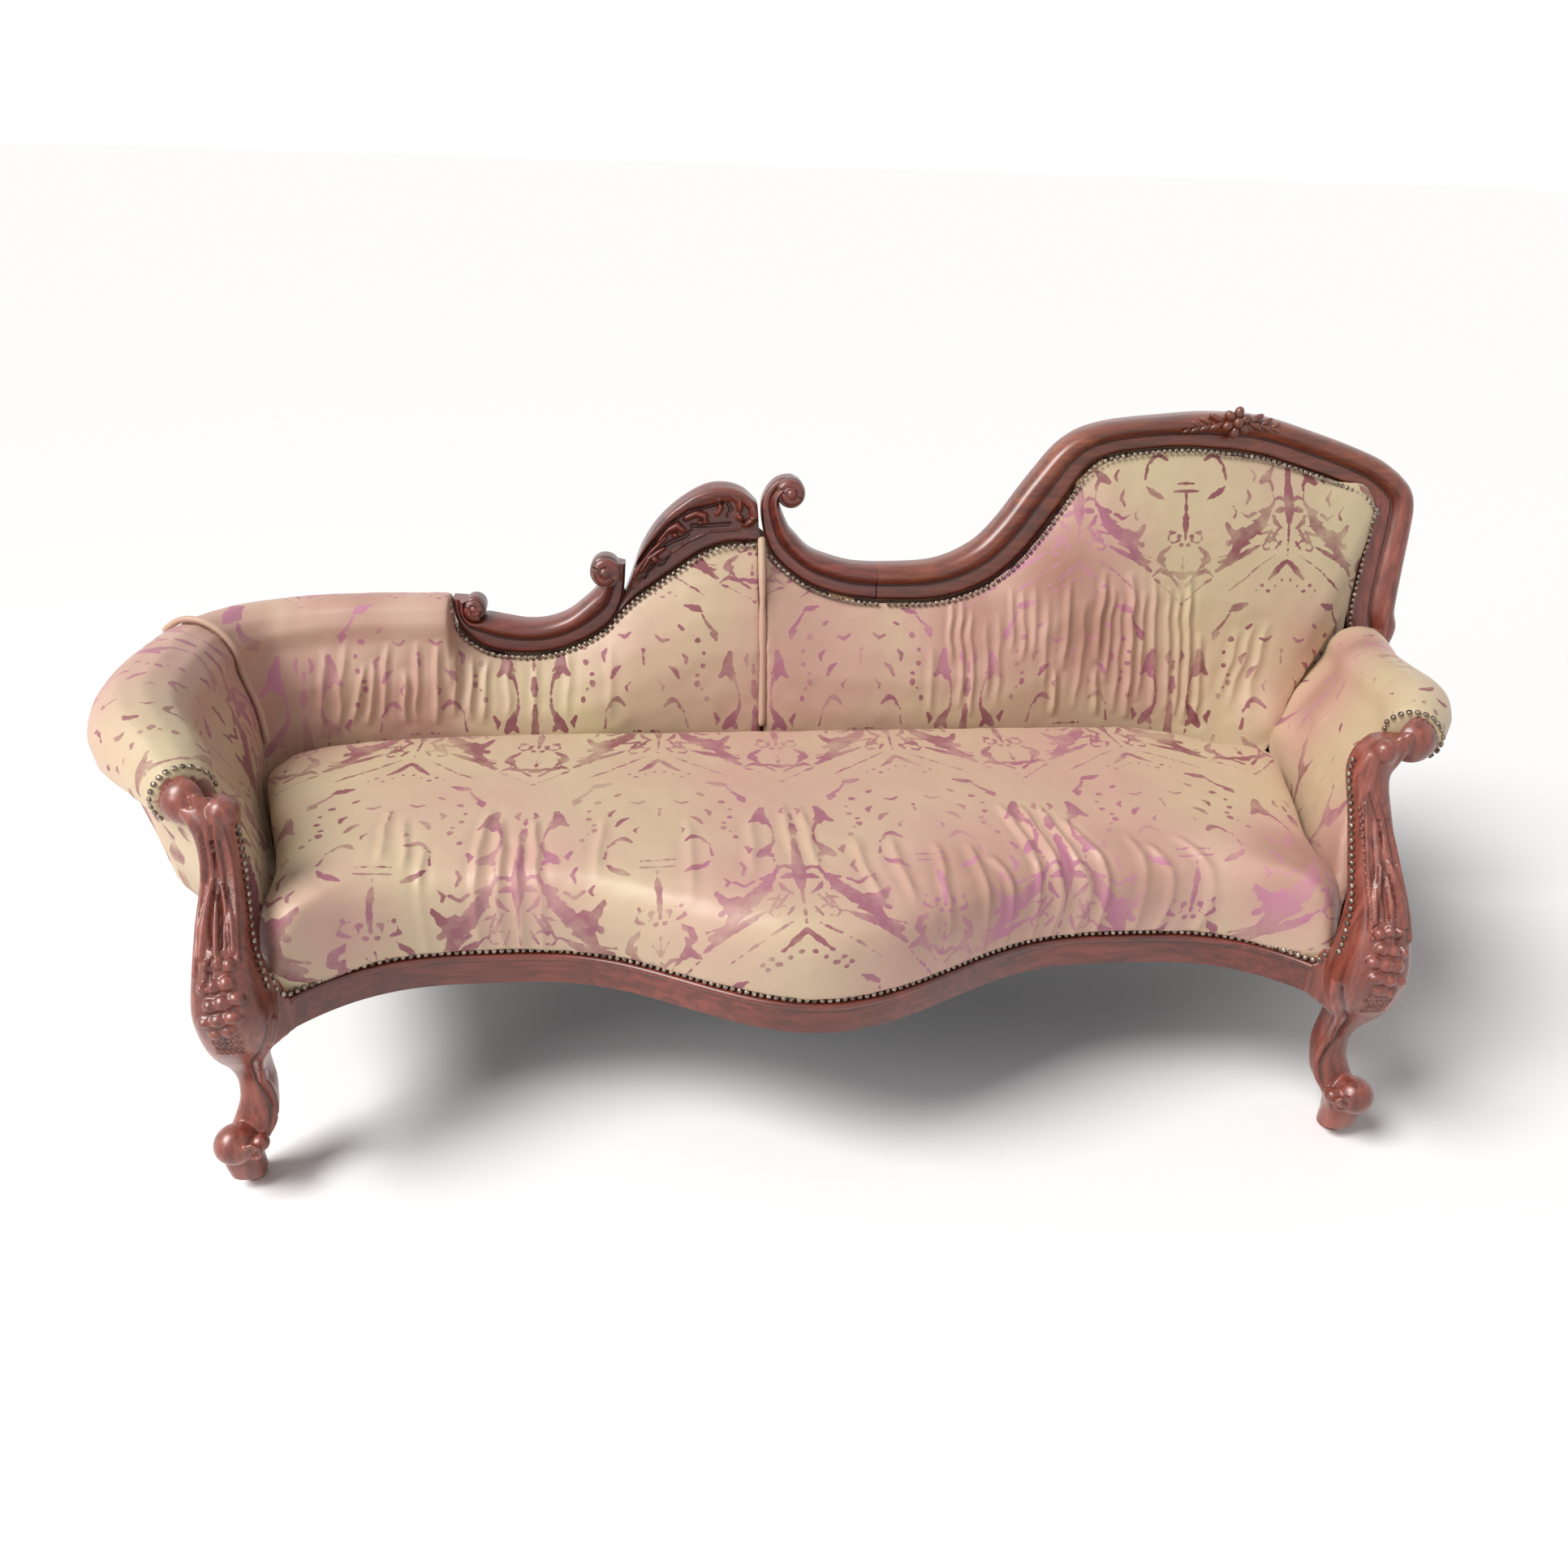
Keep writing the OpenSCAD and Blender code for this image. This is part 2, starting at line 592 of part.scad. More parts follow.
// Stile at the head end, from the shoulder down to the rear rail
stile_foot_x = rear_right_x;
stile_shares = [
    [0.962, 0.624, 1.10], [0.988, 0.53, 1.18], [0.9995, 0.41, 1.22], [0.999, 0.22, 1.26],
    [0.995, -0.03, 1.34], [0.992, -0.30, 1.40], [0.995, -0.508, 1.40]
];
stile_foot_shares = [1.15, 0.8];
stile_knots = concat([for (s = stile_shares) head_knot(s)],
                     [[stile_foot_x, back_set_z, crest_w * stile_foot_shares[0]],
                      [stile_foot_x, rail_top_z, crest_w * stile_foot_shares[1]]]);
stile_edges = band_edges(spline(stile_knots, crest_steps));
stile_joint = 0.2;
// The stile's first ring is the head rail's last one, drawn down by the width of the joint
stile_top = head_edges[len(head_edges) - 1] + [1, -1, 1, -1] * stile_joint;
module stile_right() {
    color(mahogany) place() intersection() {
        crest_loft(concat([stile_top], [for (i = [2 : len(stile_edges) - 1]) stile_edges[i]]));
        translate([0, 0, rail_top_z]) cube([head_x + crest_w, head_x, head_z]);
    }
}

// Inner edge of the stile at a height
function stile_in(z) = lookup(-z, [for (e = stile_edges) [-e[3], e[2]]]);

// Lower edge of all the show-wood of the back, where the fabric is nailed: [x, z] by rising x
edge_lap = 4;
tall_nail_from = 9;
nail_line = concat(
    [for (e = low_edges) if (e[2] < -carved_x) [e[2], e[3]]],
    [for (e = carved_edges) if (e[2] < -carved_end - edge_lap) [e[2], e[3]]],
    [for (i = [tall_nail_from : len(tall_edges) - 1]) if (tall_edges[i][2] > edge_lap - tall_scroll_x)
        [tall_edges[i][2], tall_edges[i][3]]],
    [for (e = head_edges) if (e[2] > joint_x + edge_lap) [e[2], e[3]]]
);
function nail_z(x) = lookup(x, nail_line);

// Arms and low back: padding rolled over a rail. First, the foot of all the padding on the seat
foot_rise = 6;
foot_in_share = 0.66;
pad_foot_z = rail_top_z + foot_rise;
back_foot_set = 24;
back_foot_y = rear_rail_y - back_foot_set;
foot_start_y = -block_front + block_d * foot_in_share;
foot_run = back_foot_y - foot_start_y;
roll_end_x = -low_scroll_x - edge_lap / 2;
// Shares of the left arm's reach outside the rail's end, and of the run from the arm post to the back
left_foot_shares = [[0.062, 0], [0.141, 0.25], [0.269, 0.496], [0.380, 0.695], [0.426, 0.82],
                    [0.371, 0.90], [0.118, 0.965], [-0.169, 0.991]];
right_foot_shares = [[0.062, 0], [0.141, 0.25], [0.255, 0.477], [0.317, 0.629], [0.330, 0.70],
                     [0.317, 0.746]];
function foot_points(shares, side) = [for (s = shares)
    [side * (seat_half_w + foot_out * s[0]), foot_start_y + foot_run * s[1]]];
left_foot = concat(foot_points(left_foot_shares, -1), [[roll_end_x, back_foot_y]]);
right_foot = foot_points(right_foot_shares, 1);

// Roll centres and radii at the same stations: [x, y, z, r]; the first two leave the scroll
roll_front_share = 1.24;
arm_lead = 70;
arm_lead_rise = 5;
arm_lead_shares = [0.77, 0.66];
function roll_lead(side, z, run, r) = [
    side * (arm_scroll_x + run * tan(arm_turn)), -arm_scroll_y + run, z, r
];
function roll_start(side, z) = [
    roll_lead(side, z, arm_start, arm_scroll_r * roll_front_share),
    roll_lead(side, z + arm_lead_rise, arm_start + arm_lead, arm_roll_r * arm_lead_shares[side < 0 ? 0 : 1])
];
// Left: share of the roll's radius in from the outermost fabric, share of the run from the
// scroll to the low back, then rise and radius as shares of the roll's radius
left_roll_shares = [
    [0.19, 0.319, 0.149, 0.96], [0, 0.538, 0.189, 1.00], [0.15, 0.80, 0.22, 0.90],
    [0.95, 0.955, 0.28, 0.82], [2.16, 1, 0.378, 0.78], [3.54, 1, 0.459, 0.76]
];
roll_end_shares = [0.473, 0.75];
low_roll_z_share = 0.5;
low_roll_back = 7;
low_roll_y = back_y(arm_scroll_z + arm_roll_r * low_roll_z_share) + low_roll_back;
left_run = low_roll_y + arm_scroll_y;
left_roll = concat(roll_start(-1, arm_scroll_z),
    [for (s = left_roll_shares) [-foot_reach + arm_roll_r * (1 + s[0]), -arm_scroll_y + left_run * s[1],
                                 arm_scroll_z + arm_roll_r * s[2], arm_roll_r * s[3]]],
    [[roll_end_x, low_roll_y, arm_scroll_z + arm_roll_r * roll_end_shares[0],
      arm_roll_r * roll_end_shares[1]]]);
// Right: share of the way out to the stile and back to it, then fall and radius as before
right_roll_shares = [[0.38, 0.377, 0.20, 0.70], [0.56, 0.635, 0.52, 0.70], [0.78, 0.84, 0.80, 0.70],
                     [0.90, 1.00, 0.92, 0.72]];
stile_in_share = 1.15;
roll_stile_gap = 17;
head_arm_z = arm_scroll_z + head_arm_rise;
right_end_z = head_arm_z - arm_roll_r * right_roll_shares[3][2];
right_run_x = head_x - crest_w * stile_in_share - arm_scroll_x;
right_run_y = back_y(right_end_z) - crest_t + crest_back - roll_stile_gap + arm_scroll_y;
right_roll = concat(roll_start(1, head_arm_z),
    [for (s = right_roll_shares) [arm_scroll_x + right_run_x * s[0],
                                  -arm_scroll_y + right_run_y * s[1],
                                  head_arm_z - arm_roll_r * s[2], arm_roll_r * s[3]]]);

arm_steps = 4;
roll_angles = [190, 160, 130, 100, 70, 40, 10, -20, -50];
face_shares = [0, 0.25, 0.5, 0.75];
face_count = len(face_shares);
arm_swell = 16;
swell_power = 1.6;
arm_rail_w = 26;
arm_rail_h = 38;
under_share = 0.77;
pad_foot_t = 12;
function under_z(c) = c[2] - c[3] * under_share;

// Out is the level unit vector from the seat side of a roll to its outer side
function path_out(roll, i, side) = i == 0 ? [side * cos(arm_turn), -sin(arm_turn)] :
    let (a = pick(roll, i - 1), b = pick(roll, i + 1), t = unit_2d([b[0] - a[0], b[1] - a[1]]))
    [t[1] * side, -t[0] * side];
function roll_point(c, out, n, up) = [c[0] + out[0] * n, c[1] + out[1] * n, c[2] + up];
// Point of a pad's seat side, a share of the way from its foot to the roll
function face_at(foot, c, out, s, full) =
    let (f = [foot[0], foot[1], pad_foot_z],
         tan_pt = roll_point(c, out, c[3] * cos(roll_angles[0]), c[3] * sin(roll_angles[0])))
    f + (tan_pt - f) * s - [out[0], out[1], 0] * arm_swell * full * sin(180 * pow(s, swell_power));
// Ring of a rolled pad round its rail, from the seat side over the top to the outer side
function roll_ring(foot, c, out, full) =
    let (r = c[3], half = arm_rail_w / 2 + seat_gap, low = -r * under_share,
         high = low + arm_rail_h + seat_gap)
    concat(
        [for (s = face_shares) face_at(foot, c, out, s, full)],
        [for (a = roll_angles) roll_point(c, out, r * cos(a), r * sin(a))],
        [roll_point(c, out, half, low), roll_point(c, out, half, high),
         roll_point(c, out, -half, high), roll_point(c, out, -half, low),
         [foot[0] + out[0] * pad_foot_t, foot[1] + out[1] * pad_foot_t, pad_foot_z]]);
// Faces that close a pad's end: up the front, then round the notch
roll_ends = [[17, 0, 1], [17, 1, 2], [17, 2, 16], [16, 2, 3], [16, 3, 4], [16, 4, 5], [16, 5, 15],
             [15, 5, 6], [15, 6, 7], [15, 7, 14], [14, 7, 8], [14, 8, 9], [14, 9, 10], [14, 10, 11],
             [14, 11, 13], [13, 11, 12]];
function rail_ring(c, out) =
    let (half = arm_rail_w / 2, low = -c[3] * under_share)
    [roll_point(c, out, -half, low), roll_point(c, out, -half, low + arm_rail_h),
     roll_point(c, out, half, low + arm_rail_h), roll_point(c, out, half, low)];
function hand_rings(rings, side) = side < 0 ? rings : [for (r = rings) flip(r)];
function hand_ends(ends, n, side) = side < 0 ? ends : [for (e = ends) [for (k = flip(e)) n - 1 - k]];

left_foot_line = spline(left_foot, arm_steps);
left_roll_line = spline(left_roll, arm_steps);
right_foot_line = spline(right_foot, arm_steps);
right_roll_line = spline(right_roll, arm_steps);
// The left arm and the low back share their stations, and meet at the corner seam
corner_i = 4 * arm_steps;
seam_share = 0.02;
function roll_rings(foot, roll, side, end_full) =
    [for (i = [0 : len(roll) - 1])
        let (near = max(0, 1 - (len(roll) - 1 - i) / swell_steps))
        roll_ring(foot[i], roll[i], path_out(roll, i, side), 1 + (end_full - 1) * near)];
function rail_rings(roll, side) = [for (i = [0 : len(roll) - 1]) rail_ring(roll[i], path_out(roll, i, side))];
function between(a, b, s) = [for (i = [0 : len(a) - 1]) a[i] + (b[i] - a[i]) * s];
// The rings before a station, and those after it, each drawn back a little from it
function rings_before(rings, k) = concat([for (i = [0 : k - 1]) rings[i]],
    [between(rings[k - 1], rings[k], 1 - seam_share)]);
function rings_after(rings, k) = concat([between(rings[k], rings[k + 1], seam_share)],
    [for (i = [k + 1 : len(rings) - 1]) rings[i]]);
// The right arm's face is fullest over its last stations, where it meets the back
swell_steps = 2 * arm_steps;
right_full_share = 2.1;
left_rings = roll_rings(left_foot_line, left_roll_line, -1, 1);
right_rings = roll_rings(right_foot_line, right_roll_line, 1, right_full_share);
left_rail_rings = rail_rings(left_roll_line, -1);
right_rail_rings = rail_rings(right_roll_line, 1);
// Height of the low back rail's underside
low_under_line = [for (i = [corner_i : len(left_roll_line) - 1])
    [left_roll_line[i][0], under_z(left_roll_line[i])]];
function low_under(x) = lookup(x, low_under_line) - seat_gap;

// Uprights of the back, behind the padding, from the rear rail to the show-wood or the low back rail
post_w = 44;
post_front = -4;
post_back = -crest_back;
post_room = 2;
middle_post_share = 0.135;
head_post_share = 0.729;
corner_post_x = -rear_left_x + rear_leg_w + post_w / 2;
left_post_x = roll_end_x - post_w / 2;
middle_post_x = seat_half_w * middle_post_share;
head_post_x = seat_half_w * head_post_share;
function post_end(x, z) = [[x, back_y(rail_top_z) - post_front, rail_top_z], [x, back_y(z) - post_front, z],
                           [x, back_y(z) - post_back, z], [x, back_y(rail_top_z) - post_back, rail_top_z]];
module back_post(x, top_a, top_b) {
    color(beech) place() skin([post_end(x - post_w / 2, top_a), post_end(x + post_w / 2, top_b)]);
}
module low_post(x) {
    back_post(x, low_under(x - post_w / 2), low_under(x + post_w / 2));
}
module crest_post(x) {
    back_post(x, nail_z(x - post_w / 2) - post_room, nail_z(x + post_w / 2) - post_room);
}
module back_post_corner() { low_post(corner_post_x); }
module back_post_left() { low_post(left_post_x); }
module back_post_middle() { crest_post(middle_post_x); }
module back_post_head() { crest_post(head_post_x); }

// A raked bar across the back
module raked_bar(x_from, x_to, z, h, front, back) {
    color(beech) place() translate([x_from, 0, 0]) rotate([90, 0, 90]) linear_extrude(x_to - x_from)
        polygon([[back_y(z) + front, z], [back_y(z) + back, z],
                 [back_y(z + h) + back, z + h], [back_y(z + h) + front, z + h]]);
}

// Tack rail: carries the lower edge of the back's fabric, let in between the posts
tack_rail_z = 372;
tack_rail_h = 34;
tack_rail_t = 18;
module tack_bar(x_from, x_to) {
    raked_bar(x_from, x_to, tack_rail_z, tack_rail_h, -post_front, -post_front + tack_rail_t);
}
module tack_rail() {
    tack_bar(corner_post_x + post_w / 2, left_post_x - post_w / 2);
    tack_bar(left_post_x + post_w / 2, middle_post_x - post_w / 2);
    tack_bar(middle_post_x + post_w / 2, head_post_x - post_w / 2);
    tack_bar(head_post_x + post_w / 2, stile_foot_x - crest_w * stile_foot_shares[0]);
}

// Arm padding, left and right
module arm_pad_left() {
    color(damask) place() skin(rings_before(left_rings, corner_i), roll_ends);
}
module arm_pad_right() {
    color(damask) place() skin(hand_rings(right_rings, 1), hand_ends(roll_ends, len(right_rings[0]), 1));
}

// Arm rails run inside the rolls, from the arm post to the back
module arm_rail_left() {
    color(beech) place() skin(rings_before(left_rail_rings, corner_i));
}
module arm_rail_right() {
    color(beech) place() skin(hand_rings(right_rail_rings, 1));
}
// The low back rail carries on round the corner, over the corner post and the left post
module low_back_rail() {
    color(beech) place() skin(rings_after(left_rail_rings, corner_i));
}

// Arm uprights, half way along each side rail; the top follows the slope of the arm rail
upright_w = 40;
upright_t = 15;
upright_in = 5;
upright_out_share = 0.4;
module arm_upright(roll, i, rear_x, side) {
    c = roll[i];
    out = path_out(roll, i, side);
    t = [-side * out[1], side * out[0]];
    plan = side_rail_plan(rear_x);
    base = (plan[1] + plan[2]) / 2;
    along = unit_2d(plan[2] - plan[1]);
    a = roll[i - 1];
    b = roll[i + 1];
    slope = (under_z(b) - under_z(a)) / norm([b[0] - a[0], b[1] - a[1]]);
    corners = [[-1, 0], [1, 0], [1, 1], [-1, 1]];
    color(beech) place() skin(hand_rings([
        [for (k = corners)
            [side * (base[0] - upright_in + along[0] * k[0] * upright_w / 2 - k[1] * upright_t),
             base[1] + along[1] * k[0] * upright_w / 2, rail_top_z]],
        [for (k = corners)
            [c[0] + out[0] * upright_t * (upright_out_share - k[1]) + t[0] * k[0] * upright_w / 2,
             c[1] + out[1] * upright_t * (upright_out_share - k[1]) + t[1] * k[0] * upright_w / 2,
             under_z(c) + slope * k[0] * upright_w / 2 - seat_gap]]
    ], side));
}
upright_i = 2 * arm_steps;
module arm_upright_left() { arm_upright(left_roll_line, upright_i, rear_left_x, -1); }
module arm_upright_right() { arm_upright(right_roll_line, upright_i, rear_right_x, 1); }

// Outside panels of the arms: fabric from the arm rail down over the side rail
cloth_t = 2;
panel_in = 1;
panel_start = 2;
panel_lead = 6;
panel_kink = 2;
panel_end_i = corner_i + panel_kink;
panel_n = arm_rail_w / 2 - panel_in;
// Foot of the panel: along the side rail, then along the rear leg
function panel_foot(i, m, rear_x) =
    let (plan = side_rail_plan(rear_x), front = plan[1] + unit_2d(plan[2] - plan[1]) * panel_lead)
    i <= m ? front + (plan[2] - front) * (i - panel_start) / (m - panel_start)
           : plan[2] + [0, rear_leg_w * (i - m) / panel_kink];
function panel_ring(c, out, b, side) =
    let (low = -c[3] * under_share - seat_gap, b_in = side * (b[0] + seat_gap), b_out = b_in + side * cloth_t)
    [roll_point(c, out, panel_n - cloth_t, low), roll_point(c, out, panel_n, low),
     [b_out, b[1], rail_top_z], [b_out, b[1], rail_bottom_z],
     [b_in, b[1], rail_bottom_z], [b_in, b[1], rail_top_z]];
panel_ends = [[0, 1, 2], [0, 2, 5], [5, 2, 3], [5, 3, 4]];
panel_points = 6;
panel_outer_sides = [1, 2];
module outside_arm(roll, m, n, rear_x, side) {
    color(damask) place() skin(hand_rings([for (i = [panel_start : n])
        panel_ring(roll[i], path_out(roll, i, side), panel_foot(i, m, rear_x), side)], side),
        hand_ends(panel_ends, panel_points, side),
        side < 0 ? panel_outer_sides : [for (j = panel_outer_sides) panel_points - 2 - j]);
}
module outside_arm_left() { outside_arm(left_roll_line, corner_i, panel_end_i, rear_left_x, -1); }
module outside_arm_right() {
    n = len(right_roll_line) - 2;
    outside_arm(right_roll_line, n, n, rear_right_x, 1);
}

// Padding of the back: the rolled low back, then the part under the show-wood
pad_shares = [0, 0.1, 0.24, 0.4, 0.58, 0.75, 0.89, 0.97];
pad_edge_front = 7;
pad_back = -1.5;
pad_ends = [[11, 0, 1], [11, 1, 2], [11, 2, 3], [11, 3, 10], [10, 3, 4], [10, 4, 5], [10, 5, 9],
            [9, 5, 6], [9, 6, 7], [9, 7, 8]];
back_swell_power = 1.25;
full_swell_h = 240;
nail_clear = 1.2;
pad_scan = 20;
// Ring of a back pad from its foot to the nailed edge, swelling forward between them
function pad_ring(foot, top_x, top_z, full = 1) =
    let (f = [foot[0], foot[1], pad_foot_z], t = on_back(top_x, top_z, pad_edge_front),
         swell = back_swell * min(1, (top_z - pad_foot_z) / full_swell_h))
    concat(
        [for (s = pad_shares) f + (t - f) * s - [0, swell * full * sin(180 * pow(s, back_swell_power)), 0]],
        [t, on_back(top_x, top_z, pad_back),
         on_back((f[0] + top_x) / 2, (pad_foot_z + top_z) / 2, pad_back),
         on_back(f[0], pad_foot_z, pad_back)]);

// Foremost place of the back's padding below a height, over its whole length
function pad_front_y(x, z_max) =
    let (f_y = back_foot_y, t_z = nail_z(x) - nail_clear, t_y = back_y(t_z) - pad_edge_front,
         s_max = (z_max - pad_foot_z) / (t_z - pad_foot_z),
         swell = back_swell * min(1, (t_z - pad_foot_z) / full_swell_h))
    min([for (k = [0 : pad_scan]) let (s = s_max * k / pad_scan)
        f_y + (t_y - f_y) * s - swell * sin(180 * pow(s, back_swell_power))]);
function back_front_y(z_max) = min([for (x = left_pad_xs) pad_front_y(x, z_max)]);

// Columns of the left pad, closer together where the show-wood curls
pad_joint = 1;
left_pad_steps = 26;
pad_power = 1.3;
left_pad_from = roll_end_x + pad_joint;
left_pad_to = -tall_scroll_x - edge_lap;
left_pad_xs = [for (i = [0 : left_pad_steps])
    left_pad_from + (left_pad_to - left_pad_from) * pow(i / left_pad_steps, pad_power)];
module back_pad_left() {
    color(damask) place() {
        skin(rings_after(left_rings, corner_i), roll_ends);
        skin([for (x = left_pad_xs) pad_ring([x, back_foot_y], x, nail_z(x) - nail_clear)]);
    }
}

// The head pad's foot curves forward to the arm while its edge goes round under the stile
head_foot_shares = [[-0.360, 1], [-0.169, 0.981], [-0.034, 0.942], [0.068, 0.903], [0.141, 0.872],
                    [0.205, 0.838]];
head_full_shares = [1, 1, 0.92, 0.75, 0.5, 0.25];
head_foot = foot_points(head_foot_shares, 1);
// Its edge: under the head rail at shares of its run, then down the stile to the arm's roll, at
// shares of the drop from the shoulder
head_edge_shares = [0.591, 0.705, 0.828];
stile_edge_shares = [0.04, 0.36, 0.66];
head_edge_share = 0.42;
head_edge_z = dip_z + head_edge_share * head_rise;
stile_clear = 2.5;
head_edge_xs = [for (s = head_edge_shares) joint_x + head_w * s];
head_edge = concat([for (x = head_edge_xs) [x, nail_z(x) - nail_clear]],
    [for (s = stile_edge_shares) let (z = head_edge_z + (right_end_z - head_edge_z) * s)
        [stile_in(z) - stile_clear, z]]);
head_pad_steps = 2;
head_pad_line = spline([for (i = [0 : len(head_foot) - 1])
    concat(head_foot[i], head_edge[i], [head_full_shares[i]])], head_pad_steps);
// Its last ring follows the end of the right arm's pad, just behind it
head_end_i = len(right_roll_line) - 1;
head_end_gap = 4;
head_end_set = [-1, 1, 0] * head_end_gap;
head_end_share = 0.93;
head_end_z = right_end_z + arm_roll_r * (1 - head_end_share);
head_end_t = on_back(stile_in(head_end_z) - stile_clear, head_end_z, pad_edge_front);
function arm_side(s, k) = lookup(s, [for (i = [0 : face_count])
    [i < face_count ? face_shares[i] : 1, right_rings[head_end_i][i][k]]]);
head_end_face = [for (s = pad_shares) [for (k = [0 : 2]) arm_side(s * head_end_share, k)] + head_end_set];
head_end_ring = concat(head_end_face, [head_end_t, on_back(head_end_t[0], head_end_z, pad_back),
    on_back((head_end_t[0] + head_end_face[0][0]) / 2, (head_end_z + pad_foot_z) / 2, pad_back),
    on_back(head_end_face[0][0], pad_foot_z, pad_back)]);
right_pad_steps = 22;
right_pad_from = edge_lap - tall_scroll_x;
right_pad_to = head_foot[0][0];
right_pad_xs = [for (i = [0 : right_pad_steps])
    right_pad_from + (right_pad_to - right_pad_from) * pow(i / right_pad_steps, pad_power)];
// Along its last stretch the edge runs ahead of the foot, to reach the head corner
lead_share = 0.58;
lead_x = right_pad_to * lead_share;
function edge_x(x) = x < lead_x ? x
    : lead_x + (x - lead_x) * (head_edge_xs[0] - lead_x) / (right_pad_to - lead_x);
module back_pad_right() {
    color(damask) place() skin(concat(
        [for (x = right_pad_xs) pad_ring([x, back_foot_y], edge_x(x), nail_z(edge_x(x)) - nail_clear)],
        [for (i = [1 : len(head_pad_line) - 1]) let (p = head_pad_line[i])
            pad_ring([p[0], p[1]], p[2], p[3], p[4])],
        [head_end_ring]), pad_ends);
}

// Seat outline: along the rail, up each arm's foot and along the back
hessian_t = 1.5;
seat_end_in = 9;
seat_edge_share = 0.995;
function seat_side(line) = [for (i = [1 : len(line) - 1])
    [line[i][0] - sign(line[i][0]) * seat_clear, line[i][1]]];
seat_front_x = seat_half_w - seat_end_in;
front_edge = [for (x = concat([-seat_front_x],
    [for (x = rail_xs) if (abs(x) < seat_front_x * seat_edge_share) x], [seat_front_x])) [x, rail_front(x)]];
front_count = len(front_edge) - 1;
// The back edge stands clear of the back's padding, up to the seat's crown
seat_back_y = back_front_y(seat_crown_z) - seat_clear;
// Its corners: shares of the left arm's reach, and of the run from the arm post to the back
right_corner_shares = [[0.264, 0.770], [0.221, 0.804], [0.157, 0.843], [0.071, 0.883],
                       [-0.041, 0.924], [-0.185, 0.960]];
left_corner_shares = [[-0.360, 0.984], [-0.046, 0.966], [0.205, 0.925], [0.353, 0.875]];
back_edge_shares = [0.842, 0.673, 0.42, 0.14, -0.14, -0.42, -0.673];
function corner_points(shares, side) = [for (p = foot_points(shares, side))
    [p[0], min(p[1], seat_back_y)]];
back_edge = concat(corner_points(right_corner_shares, 1),
                   [for (s = back_edge_shares) [seat_half_w * s, seat_back_y]],
                   corner_points(left_corner_shares, -1));
left_side_end = corner_i - 2;
seat_line = concat(front_edge, seat_side(right_foot_line), back_edge,
                   flip(seat_side([for (i = [0 : left_side_end]) left_foot_line[i]])));
function seat_is_front(i) = i > 0 && i < front_count;
seat_spine_share = 0.62;
seat_spine_y_share = 0.09;
seat_low_z = rail_top_z + hessian_t + seat_clear;
skirt_z = rail_show_z + seat_clear;
seat_bulge = 13;
// Levels: [share of the way in to the spine, share of the crown's height, bulge share]
seat_level_shares = [
    [0.000, 0.22, 0.85], [0.000, 0.48, 1.00], [0.010, 0.72, 0.70], [0.05, 0.86, 0.25],
    [0.13, 0.925, 0], [0.30, 0.965, 0], [0.58, 0.99, 0], [1.00, 1.00, 0]
];
// The crown and the underside close on a thin rounded core: a point goes to its front or its rear
// half, whichever side of the seat's widest place it is on
seat_core_d = 24;
function widest(side) = let (reach = max([for (p = seat_line) side * p[0]]))
    [for (p = seat_line) if (side * p[0] == reach) p][0];
seat_widest = [widest(-1), widest(1)];
function seat_core(p) = let (w = seat_widest[p[0] > 0 ? 1 : 0], s = p[0] / w[0])
    [p[0] * seat_spine_share,
     -recess_y * seat_spine_y_share + (p[1] > w[1] ? 1 : -1) * seat_core_d * sqrt(max(0, 1 - s * s))];
function seat_in(p, s) = p + (seat_core(p) - p) * s;
function seat_level(l) = [for (i = [0 : len(seat_line) - 1])
    let (p = seat_in(seat_line[i], l[0]), out = seat_is_front(i) ? seat_bulge * l[2] : 0)
    [p[0], p[1] - out, seat_low_z + (seat_crown_z - seat_low_z) * l[1]]];
function seat_foot(inset, z_front) = [for (i = [0 : len(seat_line) - 1])
    let (p = seat_line[i])
    seat_is_front(i) ? [p[0], p[1] + inset, z_front] : [p[0], p[1], seat_low_z]];
module seat_cushion() {
    rings = concat(
        [[for (p = seat_line) [seat_core(p)[0], seat_core(p)[1], seat_low_z]],
         seat_foot(rebate_in - seat_gap, seat_low_z), seat_foot(rebate_in - seat_gap, skirt_z),
         seat_foot(seat_gap, skirt_z)],
        [for (l = seat_level_shares) seat_level(l)]);
    color(damask) place() skin([for (r = rings) flip(r)]);
}

// Webbing under the seat rails: crosswise straps over lengthwise ones
strap_w = 50;
strap_t = 2;
cross_straps = 9;
strap_span_share = 0.86;
strap_front_share = 0.7;
long_strap_shares = [0.25, 0.58, 0.9];
strap_back_y = rear_rail_y + rail_t / 2;
module seat_webbing() {
    color(jute) place() {
        for (i = [0 : cross_straps - 1]) {
            x = seat_half_w * strap_span_share * (2 * i / (cross_straps - 1) - 1);
            front = rail_front(x) + rail_t * strap_front_share;
            translate([x - strap_w / 2, front, rail_bottom_z - strap_t])
                cube([strap_w, strap_back_y - front, strap_t]);
        }
        for (s = long_strap_shares) {
            y = -block_back + (rear_leg_back - rear_leg_w - strap_w + block_back) * s;
            x_left = side_inner_x(rear_left_x, y) + rail_t / 2;
            x_right = side_inner_x(rear_right_x, y) + rail_t / 2;
            translate([-x_left, y, rail_bottom_z - 2 * strap_t]) cube([x_left + x_right, strap_w, strap_t]);
        }
    }
}

